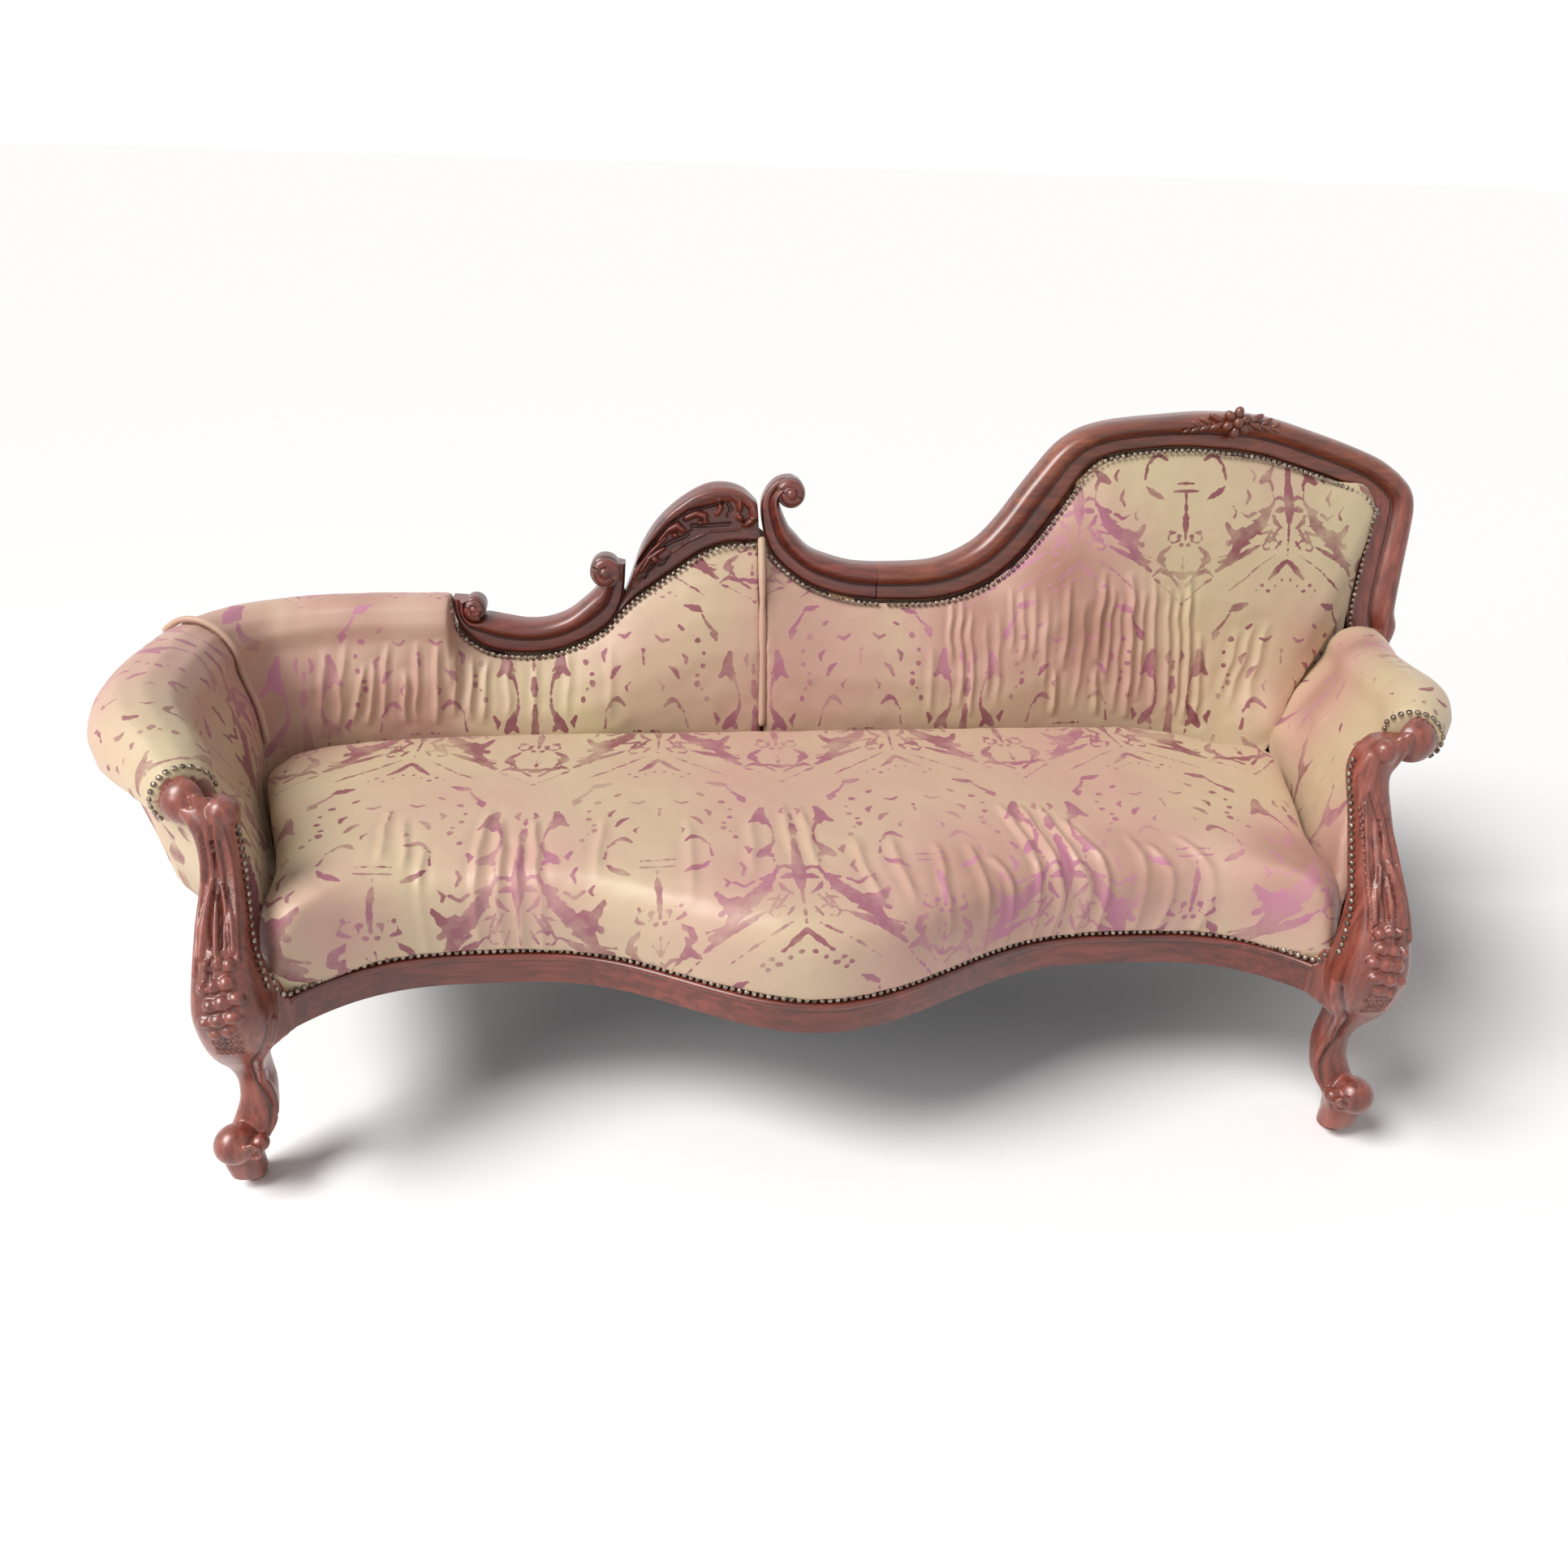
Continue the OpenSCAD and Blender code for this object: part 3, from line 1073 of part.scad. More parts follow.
// Springs: waisted sleeves whose ribs stand for the coils of a double cone
spring_coils = 5;
spring_h = rail_h;
spring_waist_share = 0.62;
spring_power = 1.5;
spring_rib = 3;
spring_wall = 2;
spring_row_shares = [0, 0.5, 1];
function spring_radius(s) = spring_r
    * (spring_waist_share + (1 - spring_waist_share) * pow(2 * abs(s - 0.5), spring_power));
function spring_outline(inset) = [for (i = [0 : 2 * spring_coils])
    let (s = i / (2 * spring_coils)) [spring_radius(s) - inset - (i % 2) * spring_rib, spring_h * s]];
module spring_form() {
    rotate_extrude($fn = 40) polygon(concat(spring_outline(0), flip(spring_outline(spring_wall))));
}
spring_room = 5;
spring_span_share = 0.84;
brace_x = brace_x_shares[1] * seat_half_w;
brace_room = spring_r + brace_w / 2 + seat_clear;
// A spring that would stand in a brace is moved to the side of it
function spring_x(x) = let (off = abs(x) - brace_x)
    abs(off) > brace_room ? x : sign(x) * (brace_x + (off < 0 ? -brace_room : brace_room));
// The front row follows the rail's rearmost point over a spring's width
function rail_rear_near(x) = max([for (k = [-1, 0, 1]) rail_front(x + k * spring_r)]) + rail_t;
module seat_springs() {
    color(steel) place() for (i = [0 : spring_cols - 1]) for (s = spring_row_shares) {
        x = spring_x(seat_half_w * spring_span_share * (2 * i / (spring_cols - 1) - 1));
        front = rail_rear_near(x) + spring_r + spring_room;
        back = rear_rail_y - spring_r - spring_room;
        translate([x, front + (back - front) * s, rail_bottom_z]) spring_form();
    }
}

// Hessian over the springs, tacked to the top of the rails, and the cloth that closes the bottom
dust_t = 1;
hessian_in_share = 0.6;
dust_in_share = 0.55;
frame_in = 1;
module frame_plan(inset) {
    rear_y = rear_rail_y + rail_t / 2;
    front_y = -block_back + frame_in;
    front_x = block_x + block_w - rail_t - inset / 2;
    rear_in = inset + rear_leg_w;
    polygon(concat(
        [for (x = rail_xs) [x, rail_front(x) + inset]],
        [[front_x, front_y], [rear_right_x - rear_in, rear_y], [rear_in - rear_left_x, rear_y],
         [-front_x, front_y]]));
}
module spring_hessian() {
    color(jute) place() translate([0, 0, rail_top_z]) linear_extrude(hessian_t) intersection() {
        frame_plan(rail_t * hessian_in_share);
        translate([-head_x, -head_x]) square([2 * head_x, head_x + back_foot_y]);
    }
}
module dust_cover() {
    color(black_cloth) place()
        translate([0, 0, rail_bottom_z - 2 * strap_t - dust_t]) linear_extrude(dust_t)
            frame_plan(rail_t * dust_in_share);
}

// Back webbing: level straps across the front of the uprights, as far as the stile
// Rows: the upright that each starts from, and its height as a share of the dip's
web_row_shares = [0.668, 0.773, 0.933, 1.042];
web_starts = [corner_post_x, middle_post_x, head_post_x, head_post_x];
web_room = 6;
module back_webbing() {
    color(jute) place() for (i = [0 : len(web_starts) - 1]) {
        x_from = web_starts[i] - post_w / 4;
        z_a = min(dip_z * web_row_shares[i], nail_z(x_from) - strap_w - web_room * (len(web_starts) - i));
        z_b = z_a + strap_w;
        x_to = min(stile_in(z_a), stile_in(z_b)) - seat_gap;
        translate([x_from, 0, 0]) rotate([90, 0, 90]) linear_extrude(x_to - x_from)
            polygon([[back_y(z_a) - post_front - strap_t, z_a], [back_y(z_a) - post_front, z_a],
                     [back_y(z_b) - post_front, z_b], [back_y(z_b) - post_front - strap_t, z_b]]);
    }
}

// Outside back: fabric over the rear of the frame, up to the show-wood
outside_top_lap = 24;
outside_steps = 40;
outside_end_share = 1.3;
outside_end_x = rear_right_x - rear_leg_w * outside_end_share;
outside_ends = [[0, 1, 4], [0, 4, 5], [1, 2, 3], [1, 3, 4]];
outside_outer_sides = [3, 4];
outside_depth = -crest_back - seat_gap;
outside_y = rear_leg_back + seat_gap;
outside_foot_z = rail_top_z - rail_h / 2;
function outside_ring(x_b, x_t, z_t) = [
    [x_b, outside_y, outside_foot_z], [x_b, outside_y, rail_top_z], on_back(x_t, z_t, outside_depth),
    on_back(x_t, z_t, outside_depth - cloth_t), [x_b, outside_y + cloth_t, rail_top_z],
    [x_b, outside_y + cloth_t, outside_foot_z]
];
// The first ring meets the outside arm's last one at the corner
corner_share = 0.1;
corner_at = between(left_roll_line[panel_end_i], left_roll_line[panel_end_i + 1], corner_share);
corner_out = path_out(left_roll_line, panel_end_i, -1);
corner_low = -corner_at[3] * under_share - seat_gap;
corner_in_x = -rear_left_x + cloth_t;
outside_corner = [
    [corner_in_x, outside_y, outside_foot_z], [corner_in_x, outside_y, rail_top_z],
    roll_point(corner_at, corner_out, panel_n - cloth_t, corner_low),
    roll_point(corner_at, corner_out, panel_n, corner_low),
    [corner_in_x, outside_y + cloth_t, rail_top_z], [corner_in_x, outside_y + cloth_t, outside_foot_z]
];
function low_panel(x) = outside_ring(x, x, low_under(x) - seat_gap);
outside_from = -low_scroll_x + edge_lap;
outside_xs = [for (i = [0 : outside_steps])
    outside_from + (outside_end_x - outside_from) * i / outside_steps];
module outside_back() {
    color(damask) place() skin(concat(
        [outside_corner, low_panel(corner_post_x - post_w / 2 - cloth_t), low_panel(roll_end_x)],
        [for (x = outside_xs) outside_ring(x, x, nail_z(x) + outside_top_lap)],
        [outside_ring(rear_right_x - rear_leg_w, head_x - crest_w, head_edge_z - outside_top_lap),
         outside_ring(rear_right_x - cloth_t, head_x - crest_w / 2, right_end_z)]),
        outside_ends, outside_outer_sides);
}

// Piping along the seams: a thin tube on the face of the padding
piping_sides = 8;
function tube_ring(path, i, r) =
    let (a = pick(path, i - 1), b = pick(path, i + 1), t = (b - a) / norm(b - a),
         u = cross(t, abs(t[2]) > 0.9 ? [1, 0, 0] : [0, 0, 1]), uu = u / norm(u), v = cross(uu, t))
    [for (k = [0 : piping_sides - 1])
        path[i] + r * (cos(360 * k / piping_sides) * uu + sin(360 * k / piping_sides) * v)];
module piping(path) {
    color(damask) place() skin([for (i = [0 : len(path) - 1]) tube_ring(path, i, piping_r)]);
}
// Corner seam: the tube lies on the padding, off each point by the ring's own outward side
corner_seam = [2 : 9];
back_seam_run = [3 : 8];
piping_steps = 2;
seam_lift = piping_r + seat_gap;
seam_lift_share = 1.25;
seam_out = path_out(left_roll_line, corner_i, -1);
function corner_lift(i) = seam_lift * seam_lift_share * (i < face_count
    ? [-seam_out[0], -seam_out[1], 0]
    : [seam_out[0] * cos(roll_angles[i - face_count]), seam_out[1] * cos(roll_angles[i - face_count]),
       sin(roll_angles[i - face_count])]);
module piping_corner() {
    piping(spline([for (i = corner_seam) left_rings[corner_i][i] + corner_lift(i)], piping_steps));
}
// Seam between the two back pads
back_seam = pad_ring([right_pad_from, back_foot_y], right_pad_from, nail_z(right_pad_from) - nail_clear);
module piping_back() {
    piping(spline([for (i = back_seam_run) back_seam[i] - [0, seam_lift, 0]], piping_steps));
}
// Dowels of the front rail and the side rails, and the screws of the corner blocks
module rail_dowels() {
    color(beech) place() for (side = [-1, 1]) hand(side) {
        front_dowel_rods(dowel_r - fit_gap);
        side_dowel_rods(side < 0 ? rear_left_x : rear_right_x, dowel_r - fit_gap);
    }
}
module corner_screws() {
    color(steel) place() corner_screw_rods(screw_r - fit_gap);
}

front_rail();
rail_left();
rail_right();
rail_rear();
seat_braces();
corner_blocks();
leg_front_left();
leg_front_right();
leg_rear_left();
leg_rear_right();
scroll_left();
crest_carved();
scroll_tall();
crest_rail();
stile_right();
back_post_corner();
back_post_left();
back_post_middle();
back_post_head();
low_back_rail();
tack_rail();
arm_rail_left();
arm_rail_right();
arm_upright_left();
arm_upright_right();
seat_webbing();
seat_springs();
spring_hessian();
dust_cover();
back_webbing();
seat_cushion();
back_pad_left();
back_pad_right();
arm_pad_left();
arm_pad_right();
outside_back();
outside_arm_left();
outside_arm_right();
piping_corner();
piping_back();
rail_dowels();
corner_screws();
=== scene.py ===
import math
import bpy
import bmesh
import numpy as np
from mathutils import Matrix, Vector


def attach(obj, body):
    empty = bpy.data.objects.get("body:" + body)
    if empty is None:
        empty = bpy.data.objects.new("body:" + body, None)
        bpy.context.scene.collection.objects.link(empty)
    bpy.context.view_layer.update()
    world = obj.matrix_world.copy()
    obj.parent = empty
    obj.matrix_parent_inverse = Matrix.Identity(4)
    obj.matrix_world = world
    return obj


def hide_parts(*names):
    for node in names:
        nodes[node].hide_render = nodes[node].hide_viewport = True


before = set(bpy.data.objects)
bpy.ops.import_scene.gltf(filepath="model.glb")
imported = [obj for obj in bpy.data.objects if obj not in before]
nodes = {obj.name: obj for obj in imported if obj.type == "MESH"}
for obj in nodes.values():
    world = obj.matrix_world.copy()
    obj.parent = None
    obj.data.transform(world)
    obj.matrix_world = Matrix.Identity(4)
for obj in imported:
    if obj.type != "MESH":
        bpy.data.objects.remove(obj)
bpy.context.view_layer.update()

# Drawing places are in millimetres from the middle of the front rail; this is where that middle lies in the part
railOrigin = np.array([42.5, 20.754, 0.0])


# sRGB hex text to linear colour: each channel by the sRGB curve
def toLinear(hexText, alpha=1.0):
    channels = np.array([int(hexText[i:i + 2], 16) for i in (1, 3, 5)]) / 255
    linear = np.where(channels <= 0.04045, channels / 12.92, ((channels + 0.055) / 1.055) ** 2.4)
    return (*linear.tolist(), alpha)


# Adds a shader node, sets its properties, then its sockets: a socket takes a value or another node's output, and i2 means
# the third input
def addNode(tree, kind, props=None, **sockets):
    node = tree.nodes.new("ShaderNode" + kind)
    for key, value in (props or {}).items():
        setattr(node, key, value)
    for key, value in sockets.items():
        socket = node.inputs[int(key[1:])] if key[0] == "i" and key[1:].isdigit() else node.inputs[key.replace("_", " ")]
        if isinstance(value, bpy.types.NodeSocket):
            tree.links.new(value, socket)
        else:
            socket.default_value = value
    return node


# Colour ramp through stops of (place, hex colour)
def addRamp(tree, factor, stops):
    ramp = addNode(tree, "ValToRGB", Fac=factor)
    elements = ramp.color_ramp.elements
    for element, (place, colour) in zip((elements[0], elements[1]), (stops[0], stops[-1])):
        element.position, element.color = place, toLinear(colour)
    for place, colour in stops[1:-1]:
        elements.new(place).color = toLinear(colour)
    return ramp


# Empty material with its node tree
def newMaterial(name):
    material = bpy.data.materials.new(name)
    material.use_nodes = True
    material.node_tree.nodes.clear()
    return material, material.node_tree


# Joins the shader to the surface
def closeMaterial(tree, shader):
    addNode(tree, "OutputMaterial", Surface=shader.outputs[0])


# Millimetres from the rail's middle to metres in the part
def toPart(points):
    return (np.asarray(points, float) - railOrigin) / 1000


# Puts an object into the scene at the origin
def addObject(name, data):
    thing = bpy.data.objects.new(name, data)
    bpy.context.scene.collection.objects.link(thing)
    return thing


# Puts a mesh into the scene as a piece that rides on the only body
def addPiece(name, mesh, material):
    mesh.materials.append(material)
    piece = addObject(name, mesh)
    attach(piece, "root")
    return piece


# Runs one bmesh operation on a mesh
def editMesh(mesh, operation):
    shell = bmesh.new()
    shell.from_mesh(mesh)
    operation(shell)
    shell.to_mesh(mesh)
    shell.free()


# Mesh object from points (n, 3) in mm and lists of face arrays (k, 3 or 4), faced outwards, as shapes may be mirrored
def makePiece(name, points, faces, material, slot="mahogany", smooth=True):
    mesh = bpy.data.meshes.new(name)
    mesh.from_pydata(toPart(points), [], [tuple(f) for block in faces for f in block.tolist()])
    mesh.polygons.foreach_set("use_smooth", np.full(len(mesh.polygons), smooth))
    editMesh(mesh, lambda shell: bmesh.ops.recalc_face_normals(shell, faces=shell.faces))
    return addPiece(name, mesh, material)


# Quads of a grid of rows by columns, joined round the columns where they close
def gridFaces(rows, cols, closed=True, start=0):
    i, j = np.meshgrid(np.arange(rows - 1), np.arange(cols if closed else cols - 1), indexing="ij")
    a, b = i * cols + j, i * cols + (j + 1) % cols
    return start + np.stack([a, b, b + cols, a + cols], -1).reshape(-1, 4)


# Fans that close the first and the last row of such a grid, each to a middle point added at the end
def closeGrid(grid):
    rows, cols = grid.shape[:2]
    points = np.concatenate([grid.reshape(-1, 3), grid[0].mean(0)[None], grid[-1].mean(0)[None]])
    j = np.arange(cols)
    first = np.stack([(j + 1) % cols, j, np.full(cols, rows * cols)], -1)
    last = (rows - 1) * cols + np.stack([j, (j + 1) % cols, np.full(cols, cols + 1)], -1)
    return points, [gridFaces(rows, cols), first, last]


# Joins several (points, faces) shapes into one list of points and faces
def joinShapes(shapes):
    points, faces, start = [], [], 0
    for shapePoints, shapeFaces in shapes:
        points.append(shapePoints)
        faces += [block + start for block in shapeFaces]
        start += len(shapePoints)
    return np.concatenate(points), faces


# Catmull and Rom's curve through rows of knots, with so many steps a span
def splineThrough(knots, steps):
    knots = np.asarray(knots, float)
    padded = np.concatenate([knots[:1], knots, knots[-1:]])
    t = (np.arange(steps) / steps)[None, :, None]
    a, b, c, d = (padded[k:k + len(knots) - 1][:, None, :] for k in range(4))
    run = (2 * b + (c - a) * t + (2 * a - 5 * b + 4 * c - d) * t * t + (3 * b - a - 3 * c + d) * t ** 3) / 2
    return np.concatenate([run.reshape(-1, knots.shape[1]), knots[-1:]])


# Value between table rows [place, value], smoothed by the same curve
def readTable(table, places, steps=12):
    line = splineThrough(table, steps)
    return np.interp(places, line[:, 0], line[:, 1])


# Zero below low, one above high, and 3t squared less 2t cubed between
def smoothStep(low, high, x):
    t = np.clip((x - low) / (high - low), 0, 1)
    return t * t * (3 - 2 * t)


# Points of an ellipsoid: latitude by longitude, on three half axes given as vectors
def blobShape(centre, axes, rings=14, sides=20):
    lat = np.linspace(-np.pi / 2, np.pi / 2, rings)[1:-1, None]
    lon = np.linspace(0, 2 * np.pi, sides, endpoint=False)[None, :]
    unit = np.stack([np.cos(lat) * np.cos(lon), np.cos(lat) * np.sin(lon), np.sin(lat) + 0 * lon], -1)
    return closeGrid(np.asarray(centre) + unit @ np.asarray(axes, float))


# Tube round a path: the ring is square to the path, and its radius is given at each point
def tubeShape(path, radius, sides=10):
    path = np.asarray(path, float)
    radius = np.broadcast_to(np.asarray(radius, float), len(path))
    along = np.gradient(path, axis=0)
    along /= np.linalg.norm(along, axis=1)[:, None]
    side = np.cross(along, np.where(np.abs(along[:, 2:]) > 0.9, [[1, 0, 0]], [[0, 0, 1]]))
    side /= np.linalg.norm(side, axis=1)[:, None]
    up = np.cross(side, along)
    turn = np.linspace(0, 2 * np.pi, sides, endpoint=False)
    ring = np.cos(turn)[None, :, None] * side[:, None] + np.sin(turn)[None, :, None] * up[:, None]
    return closeGrid(path[:, None] + ring * radius[:, None, None])


# Evenly spaced points along a path, a pitch apart
def pacePath(path, pitch):
    path = np.asarray(path, float)
    run = np.concatenate([[0], np.cumsum(np.linalg.norm(np.diff(path, axis=0), axis=1))])
    stops = np.linspace(0, run[-1], max(2, int(round(run[-1] / pitch)) + 1))
    return np.stack([np.interp(stops, run, path[:, k]) for k in range(3)], -1)


# Shade only the faces that meet more bluntly than this angle as one surface
def keepEdges(piece, degrees=38):
    piece.data.set_sharp_from_angle(angle=math.radians(degrees))


# Stores one number a vertex for the material to read
def storeField(piece, name, values):
    field = piece.data.attributes.new(name, "FLOAT", "POINT")
    field.data.foreach_set("value", np.asarray(values, np.float32).ravel())


# Distance of points (n, 2) from a stroke of rows [x, y, half width]: negative inside it
def strokeDistance(points, stroke):
    stroke = np.asarray(stroke, float)
    best = np.full(len(points), 1e9)
    for a, b in zip(stroke[:-1], stroke[1:]):
        run = b[:2] - a[:2]
        share = np.clip(((points - a[:2]) @ run) / max(run @ run, 1e-9), 0, 1)
        gap = np.hypot(*(points - a[:2] - share[:, None] * run).T) - (a[2] + (b[2] - a[2]) * share)
        best = np.minimum(best, gap)
    return best


# Value noise in the plane, the same each run: smooth between random values on a grid of so many mm
def softNoise(x, y, cell, seed):
    field = np.random.default_rng(seed).uniform(-1, 1, (64, 64))
    i, j = x / cell, y / cell
    i0, j0 = np.floor(i).astype(int), np.floor(j).astype(int)
    fi, fj = i - i0, j - j0
    fi, fj = fi * fi * (3 - 2 * fi), fj * fj * (3 - 2 * fj)
    pick = lambda a, b: field[(i0 + a) % 64, (j0 + b) % 64]
    return (pick(0, 0) * (1 - fi) + pick(1, 0) * fi) * (1 - fj) + (pick(0, 1) * (1 - fi) + pick(1, 1) * fi) * fj


# Finishes. French-polished mahogany: long grain of two reds, a dark colour in the hollows that is partly real dark wax
# and partly painted shade in the recesses, a thin coat of polish
def polishedMahogany(name, settings):
    material, tree = newMaterial(name)
    place = addNode(tree, "TexCoord")
    grain = addNode(tree, "Mapping", Vector=place.outputs["Object"], Scale=settings["grain"])
    streak = addNode(tree, "TexNoise", Vector=grain.outputs[0], Scale=9.0, Detail=7.0, Roughness=0.62, Distortion=0.6)
    cloud = addNode(tree, "TexNoise", Vector=place.outputs["Object"], Scale=5.0, Detail=3.0)
    both = addNode(tree, "Math", {"operation": "MULTIPLY_ADD"}, i0=cloud.outputs["Fac"], i1=0.45, i2=streak.outputs["Fac"])
    ramp = addRamp(tree, both.outputs[0], [(0.5, settings["dark"]), (0.7, settings["middle"]), (0.92, settings["light"])])
    # Painted shade with dark wax: the hollow field mixes in the dark colour where the recesses lie in shade
    hollow = addNode(tree, "Attribute", {"attribute_name": "hollow"})
    waxedAndShaded = addNode(tree, "MixRGB", Color1=ramp.outputs[0], Color2=toLinear(settings["waxAndShade"]), Fac=hollow.outputs["Fac"])
    pores = addNode(tree, "TexNoise", Vector=grain.outputs[0], Scale=60.0, Detail=3.0)
    bump = addNode(tree, "Bump", Height=pores.outputs["Fac"], Strength=0.05, Distance=0.0004)
    rough = addNode(tree, "MapRange", i0=cloud.outputs["Fac"], i3=settings["gloss"][0], i4=settings["gloss"][1])
    shader = addNode(tree, "BsdfPrincipled", Base_Color=waxedAndShaded.outputs[0], Roughness=rough.outputs[0],
                     Normal=bump.outputs[0], Coat_Weight=0.6, Coat_Roughness=0.24)
    closeMaterial(tree, shader)
    return material


# Grain colours, and the dark colour that the hollows get: painted shade with dark wax
mahogany = {"grain": (1.2, 9.0, 9.0), "dark": "#43190F", "middle": "#63261A", "light": "#83392A", "waxAndShade": "#210E0A",
            "gloss": (0.32, 0.44)}
# The legs' copy is lighter and warmer than the rail's: partly their own tone, partly painted light, because the posts
# stand in the light
warmLitMahogany = dict(mahogany, grain=(9.0, 9.0, 1.2), dark="#55251A", middle="#7C3A2C", light="#9E5444")
orangeMahogany = dict(mahogany, dark="#4E2010", middle="#72331D", light="#944B2E")
railWood = polishedMahogany("polished mahogany, long grain", mahogany)
headWood = polishedMahogany("polished mahogany, warmer length", orangeMahogany)
legWood = polishedMahogany("polished mahogany, upright grain", warmLitMahogany)


# Domed upholstery nails of antique brass: dark and worn bright in small random spots
def nailBrass():
    material, tree = newMaterial("antique brass nailheads")
    place = addNode(tree, "TexCoord")
    spots = addNode(tree, "TexNoise", Vector=place.outputs["Object"], Scale=160.0, Detail=3.0)
    ramp = addRamp(tree, spots.outputs["Fac"], [(0.35, "#4A3F38"), (0.7, "#B9A999")])
    rough = addNode(tree, "MapRange", i0=spots.outputs["Fac"], i3=0.42, i4=0.25)
    shader = addNode(tree, "BsdfPrincipled", Base_Color=ramp.outputs[0], Metallic=0.85, Roughness=rough.outputs[0])
    closeMaterial(tree, shader)
    return material


brass = nailBrass()
print("finishes: wood and brass")


# Front rail: raised cosine in the middle, cubic flare at the ends, as the frame has it
frontRail = {"half": 713, "recess": 217, "nose": 137, "noseShare": 0.603, "nosePower": 1.25, "flare": 84,
             "flareFrom": 0.645, "stations": 260, "cutTo": 303, "cutFrom": (676, 700)}


# Face of the rail at x: recess, plus the raised cosine of the nose, plus the cube of the flare
def railFront(x):
    x = np.abs(np.asarray(x, float))
    half = frontRail["half"]
    turn = np.clip(x / (half * frontRail["noseShare"]), 0, 1)
    nose = ((1 + np.cos(np.pi * turn)) / 2) ** frontRail["nosePower"]
    flare = np.clip((x / half - frontRail["flareFrom"]) / (1 - frontRail["flareFrom"]), 0, 1) ** 3
    return -(frontRail["recess"] + frontRail["nose"] * nose + frontRail["flare"] * flare)


# Section of the front rail: [distance behind its face, height], round the bead and the fabric rebate
railSection = [[34, 250], [4, 250], [1.4, 250.4], [0.3, 251.5], [0, 254], [-0.2, 262], [-0.3, 276], [0, 288], [0.2, 289.6],
               [-1.2, 290.6], [-2.6, 292.2], [-3.1, 294.6], [-2.7, 297], [-1.4, 298.9], [0.6, 299.8], [3, 300],
               [8.4, 300], [9, 300.6], [9, 330], [34, 330]]


# The section swept along the face
def buildFrontRail():
    x = np.linspace(-frontRail["half"], frontRail["half"], frontRail["stations"])
    y = railFront(x)
    slope = np.gradient(y, x)
    section = np.asarray(railSection, float)
    lean = np.sqrt(1 + slope ** 2)
    # The front half of the section stays square to the curve, so the bead keeps its width; the rebate's back is cut down at
    # both ends, under the seat's corners
    out = np.where(section[:, 0] < 9, section[:, 0], 0)
    deep = section[:, 0] - out
    grid = np.stack([
        x[:, None] - out[None, :] * (slope / lean)[:, None],
        y[:, None] + out[None, :] / lean[:, None] + deep[None, :],
        section[:, 1] - np.clip(section[:, 1] - frontRail["cutTo"], 0, None) * smoothStep(*frontRail["cutFrom"], np.abs(x))[:, None]], -1)
    points, faces = closeGrid(grid)
    piece = makePiece("frontRailMoulding", points, faces, railWood)
    # Painted shade, with dark wax, in the narrow groove under the bead
    low = smoothStep(289.2, 290.0, points[:, 2]) * (1 - smoothStep(290.4, 291.6, points[:, 2]))
    storeField(piece, "hollow", 0.75 * low)
    keepEdges(piece)
    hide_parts("front_rail")


buildFrontRail()
print("front rail")


# Show-wood of the back, on a plane raked 12 degrees; a depth is counted forward from that plane
backPlane = {"rake": 12, "atHeight": 430, "at": 290, "thick": 46, "behind": 30, "width": 62}


rake = math.radians(backPlane["rake"])
backRight, backUp, backOut = np.array([[1.0, 0, 0], [0, math.sin(rake), math.cos(rake)], [0, -math.cos(rake), math.sin(rake)]])


# Depth of the raked plane at a height: its foot, plus the rise times the tangent of the rake
def backY(z):
    return backPlane["at"] + (np.asarray(z, float) - backPlane["atHeight"]) * math.tan(rake)


# Places so far in front of the raked plane
def onBack(x, z, depth):
    x, z, depth = np.broadcast_arrays(*(np.asarray(v, float) for v in (x, z, depth)))
    return np.stack([x, backY(z) - depth, z], -1)


# Moulding from outer edge to inner: [share of the width, share of the thickness]; round ridge, groove, fillet, nailed edge
mouldingShares = [[0, 0.25], [0, 0.5], [0.015, 0.66], [0.06, 0.82], [0.13, 0.94], [0.22, 0.995], [0.31, 0.98], [0.39, 0.9],
                  [0.46, 0.80], [0.51, 0.70], [0.535, 0.635], [0.56, 0.625], [0.58, 0.645], [0.64, 0.66], [0.72, 0.665],
                  [0.80, 0.655], [0.87, 0.64], [0.92, 0.61], [0.945, 0.56], [0.97, 0.52], [1.0, 0.5], [1.0, 0.3]]


# Loft between edge lines: the front profile in shares, then two points at the back
def edgeLoft(edges, front):
    rows = len(edges)
    rear = np.broadcast_to(np.array([[0.98, 0.0], [0.02, 0.0]]), (rows, 2, 2))
    shares = np.concatenate([np.broadcast_to(front, (rows, *np.shape(front)[-2:])), rear], 1)
    outer, inner = edges[:, None, :2], edges[:, None, 2:4]
    flat = outer + (inner - outer) * shares[..., :1]
    depth = shares[..., 1] * backPlane["thick"] - backPlane["behind"]
    return onBack(flat[..., 0], flat[..., 1], depth)


# Outer and inner edge lines from shares of a box
def tableEdges(piece, steps=10):
    line = splineThrough(piece["shares"], steps)
    return line * ([piece["width"], piece["height"]] * 2) + [piece["left"], piece["low"]] * 2


# Edges of a band from its outer line [x, z, width]: the inner edge lies a width away, square to the outer
def bandEdges(line):
    run = np.gradient(line[:, :2], axis=0)
    run /= np.linalg.norm(run, axis=1)[:, None]
    inner = line[:, :2] + np.stack([run[:, 1], -run[:, 0]], -1) * line[:, 2:3]
    return np.concatenate([line[:, :2], inner], 1)


